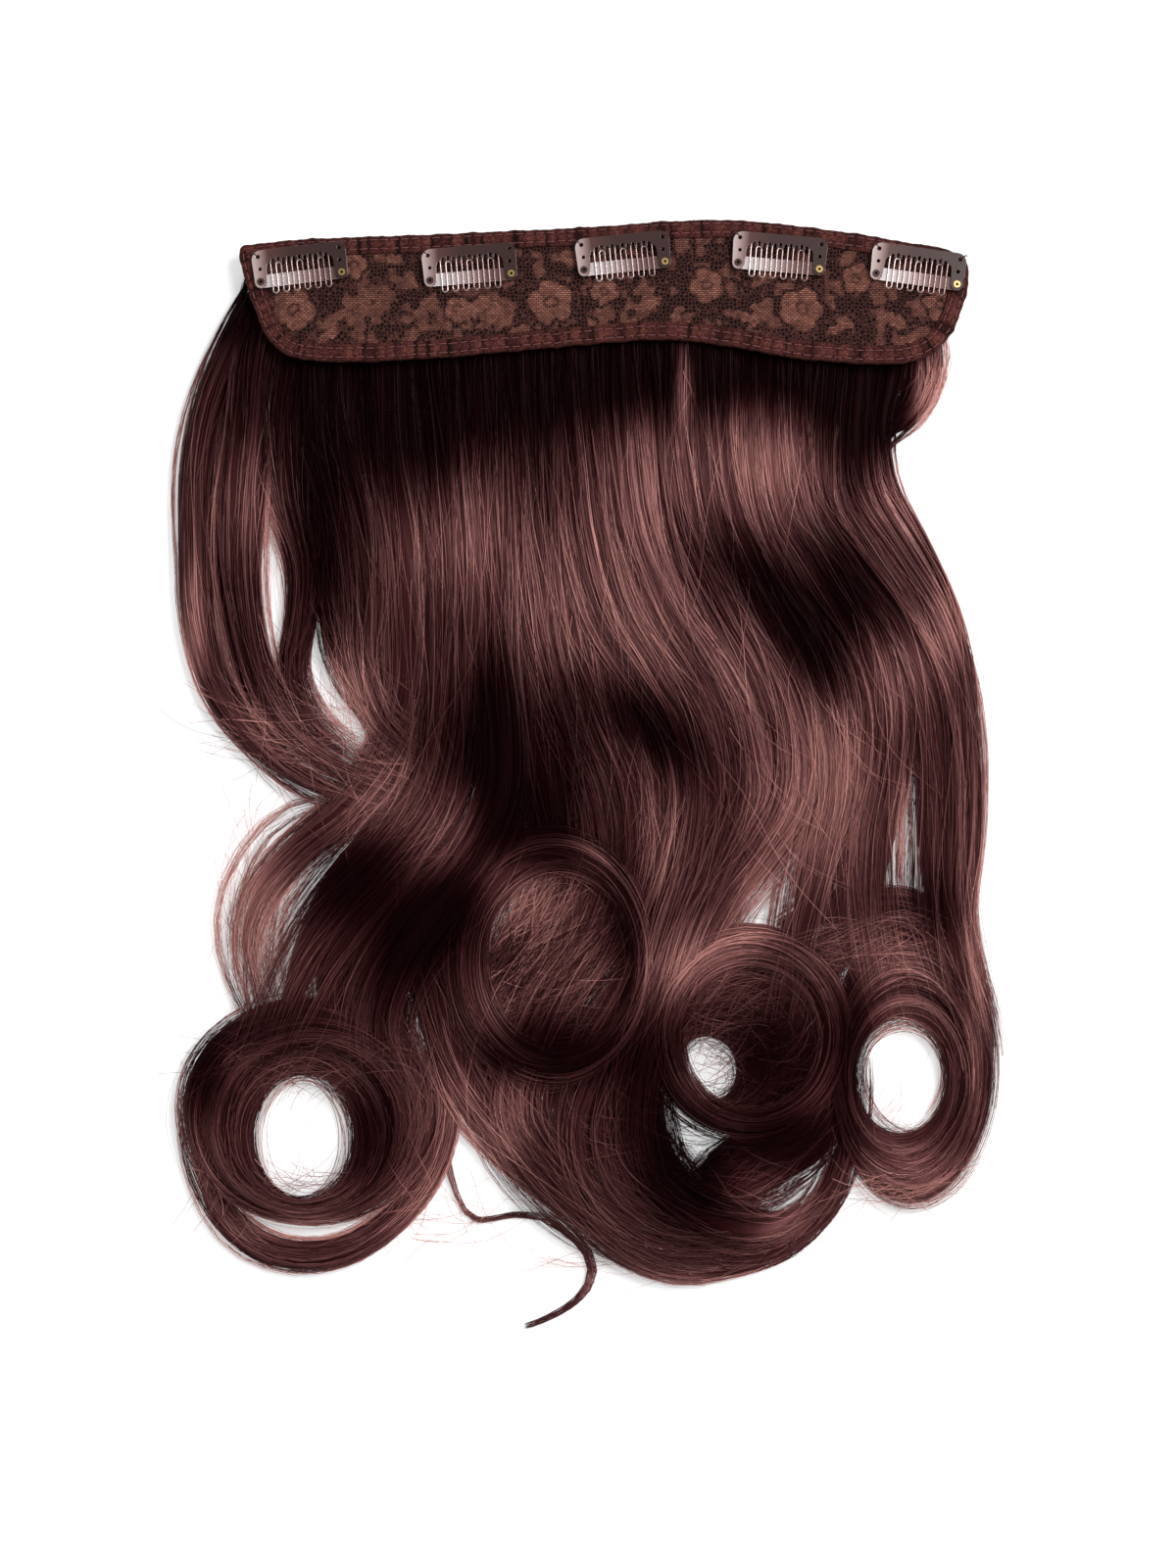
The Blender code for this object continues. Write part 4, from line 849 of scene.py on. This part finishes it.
def build_lace():
    """The lace between the tape's edges, puffed up to the clips, with soft folds across it."""
    _, ex, ey, _, _ = band_loop(0.0005)
    x = np.linspace(ex.min() + LACE_TUCK, ex.max() - LACE_TUCK, LACE_COLUMNS)
    places = [band_point(s.along, 0).x for s in BAND_SECTIONS]
    top = np.interp(x, places, [s.top * BAND_HEIGHT for s in BAND_SECTIONS])
    low = np.interp(x, places, [s.bottom * BAND_HEIGHT for s in BAND_SECTIONS])
    v = np.linspace(0, 1, LACE_ROWS)[None, :]
    y = (low + LACE_TUCK)[:, None] * (1 - v) + (top - LACE_TUCK)[:, None] * v
    x = np.repeat(x[:, None], LACE_ROWS, axis=1)
    inside = loop_distance(x, y)
    rise = clamp((inside - 0.0070) / 0.0050)
    rise = rise * rise * (3 - 2 * rise)
    cloth = lace_pattern(x, y)
    folds = np.zeros_like(x)
    for along, lean, deep in LACE_FOLDS:
        place = x - band_point(along, 0).x - lean * (y - 0.5 * BAND_HEIGHT)
        folds += deep * hump(place, 0.0016)
    waves = 0.5 * np.sin(x * 520 + 40 * y) + 0.5 * np.sin(x * 910 - 60 * y + 2)
    near_tape = clamp(1 - (inside - 0.006) / 0.008)
    z = LACE_TOP + LACE_CROWN * rise * (0.8 - 0.5 * folds) + 0.00016 * cloth * (rise > 0)
    z += 0.00010 * waves * (0.4 + near_tape) * (inside > TAPE_WIDTH)
    pleat_shade = creases(x[:, 0], 5)[:, None] * clamp(near_tape * 1.3)
    worn = 0.66 + 0.62 * value_noise(x, y, 0.0017, 21) * value_noise(x, y, 0.0032, 22) * 2
    # Painted shade in the soft folds and in the pleats by the tape, and painted light and shade on the ripples near
    # it.
    tone = cloth * np.clip(worn, 0.4, 1.05) - 0.40 * folds + 0.08 * waves * near_tape - 0.75 * pleat_shade
    grid = to_band(np.stack([x, y, z], axis=-1))[None]
    return show(sheets_mesh("lace_net", [(grid, tone[None])]), "lace_panel", lace_material())


def lace_material():
    """Net threads on a dark ground, with rows of thread over the flowers."""
    made = new_material("lace_thread", (0.10, 0.04, 0.035), 0.95, specular=0.10)
    places = add_node(made, "TexCoord")
    tone = tone_node(made)
    cells = add_node(made, "TexVoronoi", {"feature": "DISTANCE_TO_EDGE"}, Scale=780.0, Randomness=0.75)
    net = ramp(made, [
        (0.0, (0.070, 0.026, 0.021)), (0.08, (0.024, 0.0080, 0.0072)), (0.17, (0.0045, 0.0014, 0.0016))])
    rows = add_node(
        made, "TexBrick", Scale=1000.0, Mortar_Size=0.16, Mortar_Smooth=0.6, Brick_Width=1.5,
        Row_Height=0.72, Color1=(0.235, 0.102, 0.072, 1.0), Color2=(0.125, 0.046, 0.034, 1.0),
        Mortar=(0.028, 0.0085, 0.0080, 1.0))
    mix = add_node(made, "MixRGB")
    wire(made, (places, "Object", cells, "Vector"), (cells, "Distance", net, "Fac"),
         (places, "Object", rows, "Vector"), (tone, "Fac", mix, "Fac"), (net, "Color", mix, "Color1"),
         (rows, "Color", mix, "Color2"), (mix, "Color", shader_of(made), "Base Color"))
    add_bump(made, mix, "Color", 0.6)
    return made


def new_curve(name, dimensions, bevel, extrude=0.0):
    """An empty curve, round in section where it is 3D and filled where it is 2D."""
    curve = bpy.data.curves.new(name, "CURVE")
    curve.dimensions = dimensions
    curve.bevel_depth = bevel
    curve.bevel_resolution = 2
    curve.extrude = extrude
    if dimensions == "2D":
        curve.fill_mode = "BOTH"
    return curve


def as_mesh(curve, material):
    """A mesh made once from a curve, so that its box can be measured."""
    mesh = bpy.data.meshes.new_from_object(bpy.data.objects.new(curve.name, curve))
    mesh.materials.clear()
    mesh.materials.append(material)
    return mesh


def add_line(curve, points, closed=False, unit=MM):
    """A line through points with two or three coordinates."""
    spline = curve.splines.new("POLY")
    spline.points.add(len(points) - 1)
    for target, point in zip(spline.points, points):
        x, y, z = (*point, 0.0)[:3]
        target.co = (x * unit, y * unit, z * unit, 1.0)
    spline.use_cyclic_u = closed


def build_stitches():
    """Two rows of short stitches all round the tape."""
    curve = new_curve("tape_stitches", "3D", STITCH_RADIUS)
    curve.bevel_resolution = 1
    even, x, y, nx, ny = band_loop(TAPE_STEP)
    waves = puckers(even)
    for inset in STITCH_ROWS:
        for k in range(0, len(even) - 3, 4):
            line = []
            for j in range(k, k + 4):
                depth = inset + 0.0002 * waves[j]
                fold = waves[j] * (0.25 + 0.75 * math.sin(math.pi * depth / TAPE_WIDTH))
                sunk = 0.00022 if j in (k, k + 3) else 0.0
                z = STITCH_HEIGHT + PUCKER_HEIGHT * fold - 0.0001 - sunk
                line.append((x[j] + nx[j] * depth, y[j] + ny[j] * depth, z))
            add_line(curve, to_band(np.array(line)), unit=1.0)
    thread = new_material("stitch_thread", (0.120, 0.030, 0.032), 0.5, specular=0.35)
    show(bpy.data.objects.new("tape_stitches", as_mesh(curve, thread)), smooth=False)


def arc(x, y, radius, start, end, steps):
    """Points of a round arc, in degrees."""
    angles = np.radians(np.linspace(start, end, steps + 1))
    return [(x + radius * math.cos(a), y + radius * math.sin(a)) for a in angles]


def tine_places():
    """Where the tines stand along a clip, in millimetres."""
    first = -0.5 * (TINES - 1) * TINE_PITCH
    return [first + k * TINE_PITCH for k in range(TINES)]


def add_holes(curve, *holes):
    """Round holes, given as (x, y, radius), at both ends of a clip's plate or strip."""
    for side in (-1, 1):
        for x, y, radius in holes:
            add_line(curve, arc(side * x, y, radius, 0, 345, 23), True)


def clip_plate_curve():
    """Spine and arms of a clip, with its row of arches and its holes."""
    w, h, r = CLIP_HALF_WIDTH, CLIP_HALF_HEIGHT, 3.3
    tines = tine_places()
    edge = arc(-w + r, h - r, r, 180, 90, 8) + arc(w - r, h - r, r, 90, 0, 8)
    edge += arc(w - 2.3, -h + 2.3, 2.0, 0, -180, 8)
    edge += [(w - CLIP_ARM, 0.4), (w - CLIP_ARM - 0.3, 1.6)]
    foot, top = CLIP_SPINE_FOOT - 1.1, CLIP_SPINE_FOOT + 0.9
    for pair in range(TINES - 1, -1, -2):
        right, left = tines[pair], tines[pair - 1]
        edge += [(right + 0.45, foot + 0.9), (right + 0.3, foot), (right - 0.3, foot)]
        edge += arc(0.5 * (right + left), top - 0.9, 0.62, 0, 180, 5)
        edge += [(left + 0.3, foot), (left - 0.3, foot), (left - 0.45, foot + 0.9)]
        if pair > 1:
            edge += arc(0.5 * (left + tines[pair - 2]), top - 0.6, 0.62 if pair % 4 == 1 else 0.7, 0, 180, 5)
    edge += [(-w + CLIP_ARM + 0.3, 1.6), (-w + CLIP_ARM, 0.4)]
    edge += arc(-w + 2.3, -h + 2.3, 2.0, 0, -180, 8)
    curve = new_curve("clip_plate", "2D", 0.00014, 0.00011)
    add_line(curve, edge, True)
    add_holes(curve, (w - 2.1, h - 2.1, 0.85), (w - 2.4, 0.2, 0.75), (w - 2.4, -h + 2.3, 0.9))
    return curve


def clip_tine_curve():
    """The wires of a clip's comb: down, round, up and over in three serpentines."""
    curve = new_curve("clip_tines", "3D", TINE_RADIUS * MM)
    tines = tine_places()
    turn = 0.5 * TINE_PITCH
    root, arch, tip = CLIP_SPINE_FOOT - 0.4, CLIP_SPINE_FOOT - 1.9, -CLIP_HALF_HEIGHT - 1.1
    for group in range(0, TINES, 4):
        a, b, c, d = tines[group:group + 4]
        path = [(a, root)] + arc(a + turn, tip, turn, 180, 360, 8) + arc(b + turn, arch, turn, 180, 0, 8)
        path += arc(c + turn, tip, turn, 180, 360, 8) + [(d, root)]
        shares = [min(max((root - y) / (root - tip), 0), 1) for _, y in path]
        add_line(curve, [(x, y, 0.35 * math.sin(math.pi * share)) for (x, y), share in zip(path, shares)])
    return curve


def clip_bar_curve():
    """The strip behind a clip's tines, with rounded corners."""
    w, h, r = CLIP_HALF_WIDTH - 0.4, 2.1, 1.6
    low = -CLIP_HALF_HEIGHT + 0.6
    edge = []
    for side, y, start in ((-1, low + 2 * h - r, 180), (1, low + 2 * h - r, 90), (1, low + r, 0), (-1, low + r, -90)):
        edge += arc(side * (w - r), y, r, start, start - 90, 6)
    curve = new_curve("clip_bar", "2D", 0.00016, 0.00008)
    add_line(curve, edge, True)
    add_holes(curve, (CLIP_HALF_WIDTH - 2.2, -CLIP_HALF_HEIGHT + 2.4, 0.95))
    return curve


def fade_across(material, stops):
    """A clip's paint fading from its left end, which the light catches, to its right end."""
    half = CLIP_HALF_WIDTH * MM
    split = add_node(material, "SeparateXYZ")
    share = add_node(material, "MapRange", From_Min=-half, From_Max=half)
    colours = ramp(material, stops)
    wire(material, (add_node(material, "TexCoord"), "Object", split, "Vector"), (split, "X", share, "Value"),
         (share, "Result", colours, "Fac"), (colours, "Color", shader_of(material), "Base Color"))


def build_clips():
    """Each clip's plate, tines and strip, its two solid eyelets in new paint, and its threads."""
    paint = new_material("clip_paint", (0.060, 0.024, 0.022), 0.22, metallic=0.2, specular=0.5, coat=0.4)
    # Painted reflections: each clip finish is light at the clip's left end and fades towards its right.
    fade_across(paint, [
        (0.0, (0.44, 0.35, 0.34)), (0.09, (0.26, 0.17, 0.16)), (0.17, (0.070, 0.028, 0.025)),
        (0.42, (0.034, 0.012, 0.0105)), (1.0, (0.026, 0.0085, 0.0075))])
    wires = new_material("clip_wire", (0.16, 0.085, 0.080), 0.22, metallic=0.7, specular=0.6, coat=0.4)
    fade_across(wires, [(0.0, (0.50, 0.40, 0.40)), (0.45, (0.34, 0.23, 0.22)), (1.0, (0.12, 0.06, 0.055))])
    steel = new_material("clip_steel", (0.30, 0.20, 0.19), 0.16, metallic=0.6, specular=0.6, coat=0.5)
    fade_across(steel, [
        (0.0, (0.85, 0.80, 0.80)), (0.35, (0.60, 0.50, 0.50)), (0.65, (0.22, 0.13, 0.12)),
        (1.0, (0.07, 0.03, 0.028))])
    thread = new_material("sewing_thread", (0.050, 0.018, 0.020), 0.7, specular=0.3)
    brass = new_material("eyelet_brass_shiny", (0.62, 0.42, 0.17), 0.22, metallic=1.0)
    dark = new_material("eyelet_dark_shiny", (0.05, 0.022, 0.020), 0.2, metallic=0.4, coat=0.5)
    sheets = (
        ("plate", as_mesh(clip_plate_curve(), paint), COMB_Z, "comb"),
        ("tines", as_mesh(clip_tine_curve(), wires), COMB_Z, "comb"),
        ("strip", as_mesh(clip_bar_curve(), steel), BAR_Z, "bar"),
    )
    threads = new_curve("clip_threads", "3D", SEWING_RADIUS)
    for number, place in enumerate(CLIP_PLACES, start=1):
        turn = Matrix.Rotation(math.radians(place.turn), 4, "Z")
        middle = BAND_MATRIX @ Matrix.Translation(band_point(place.along, place.up)) @ turn
        for label, mesh, z, node in sheets:
            piece = bpy.data.objects.new(f"clip_{number}_{label}", mesh)
            piece.matrix_world = middle @ Matrix.Translation((0.0, 0.0, z * MM))
            show(piece, f"clip_{number}_{node}", smooth=False)
        for side, finish in (("left", dark), ("right", brass)):
            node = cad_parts[f"clip_{number}_eyelet_{side}"]
            node.data.materials.clear()
            node.data.materials.append(finish)
            soften = node.modifiers.new("soften", "BEVEL")
            soften.width = 0.00008
            soften.segments = 2
        for side in (-1, 1):
            for k in range(4):
                x, y = side * (CLIP_HALF_WIDTH - 2.1), CLIP_HALF_HEIGHT - 2.1
                spread = (k - 1.5) * 0.3
                line = [(x, y, COMB_Z - 0.5), (x + side * 0.3, y + 0.5, COMB_Z + 0.42),
                        (x + side * (1.5 - 0.3 * spread), y + 1.5 + 0.5 * spread, COMB_Z + 0.40),
                        (x + side * (2.5 - 0.8 * spread), y + 2.4 + spread, 3.2)]
                add_line(threads, [middle @ (Vector(p) * MM) for p in line], unit=1.0)
    show(bpy.data.objects.new("clip_threads", as_mesh(threads, thread)), smooth=False)


def build_stage():
    """A white table, a large soft light from the upper right, two weak ones, and the camera."""
    scene = bpy.context.scene
    world = bpy.data.worlds.new("studio")
    scene.world = world
    world.use_nodes = True
    set_inputs(world.node_tree.nodes["Background"], Color=(1.0, 1.0, 1.0, 1.0), Strength=0.35)
    bpy.ops.mesh.primitive_plane_add(size=24.0, location=(0.0, 0.0, -0.0002))
    floor = bpy.context.active_object
    floor.name = "table_top"
    white = new_material("table_white", (0.62, 0.62, 0.62), 0.9, specular=0.1)
    set_inputs(shader_of(white), Emission_Color=(1.0, 1.0, 1.0, 1.0), Emission_Strength=0.42)
    floor.data.materials.append(white)
    for name, place, size, power in (
        ("key", (0.75, 0.55, 1.25), 0.8, 27.0),
        ("fill", (-0.9, 0.9, 1.1), 0.8, 5.0),
        ("low", (0.1, -1.2, 1.0), 0.7, 6.0),
    ):
        light = bpy.data.lights.new(name, "AREA")
        light.shape = "DISK"
        light.size = size
        light.energy = power
        lamp = bpy.data.objects.new(name, light)
        lamp.location = place
        lamp.rotation_euler = (-Vector(place)).to_track_quat("-Z", "Y").to_euler()
        scene.collection.objects.link(lamp)
    camera = bpy.data.objects.new("camera", bpy.data.cameras.new("camera"))
    camera.data.lens = 85.0
    camera.data.sensor_width = 36.0
    camera.data.clip_end = 20.0
    camera.location = (-0.0002, -0.0039, 1.290)
    scene.collection.objects.link(camera)
    scene.camera = camera
    scene.view_settings.view_transform = "Standard"


build_hair()
lace = build_lace()
build_tape()
build_stitches()
build_clips()
build_stage()
bpy.context.view_layer.update()
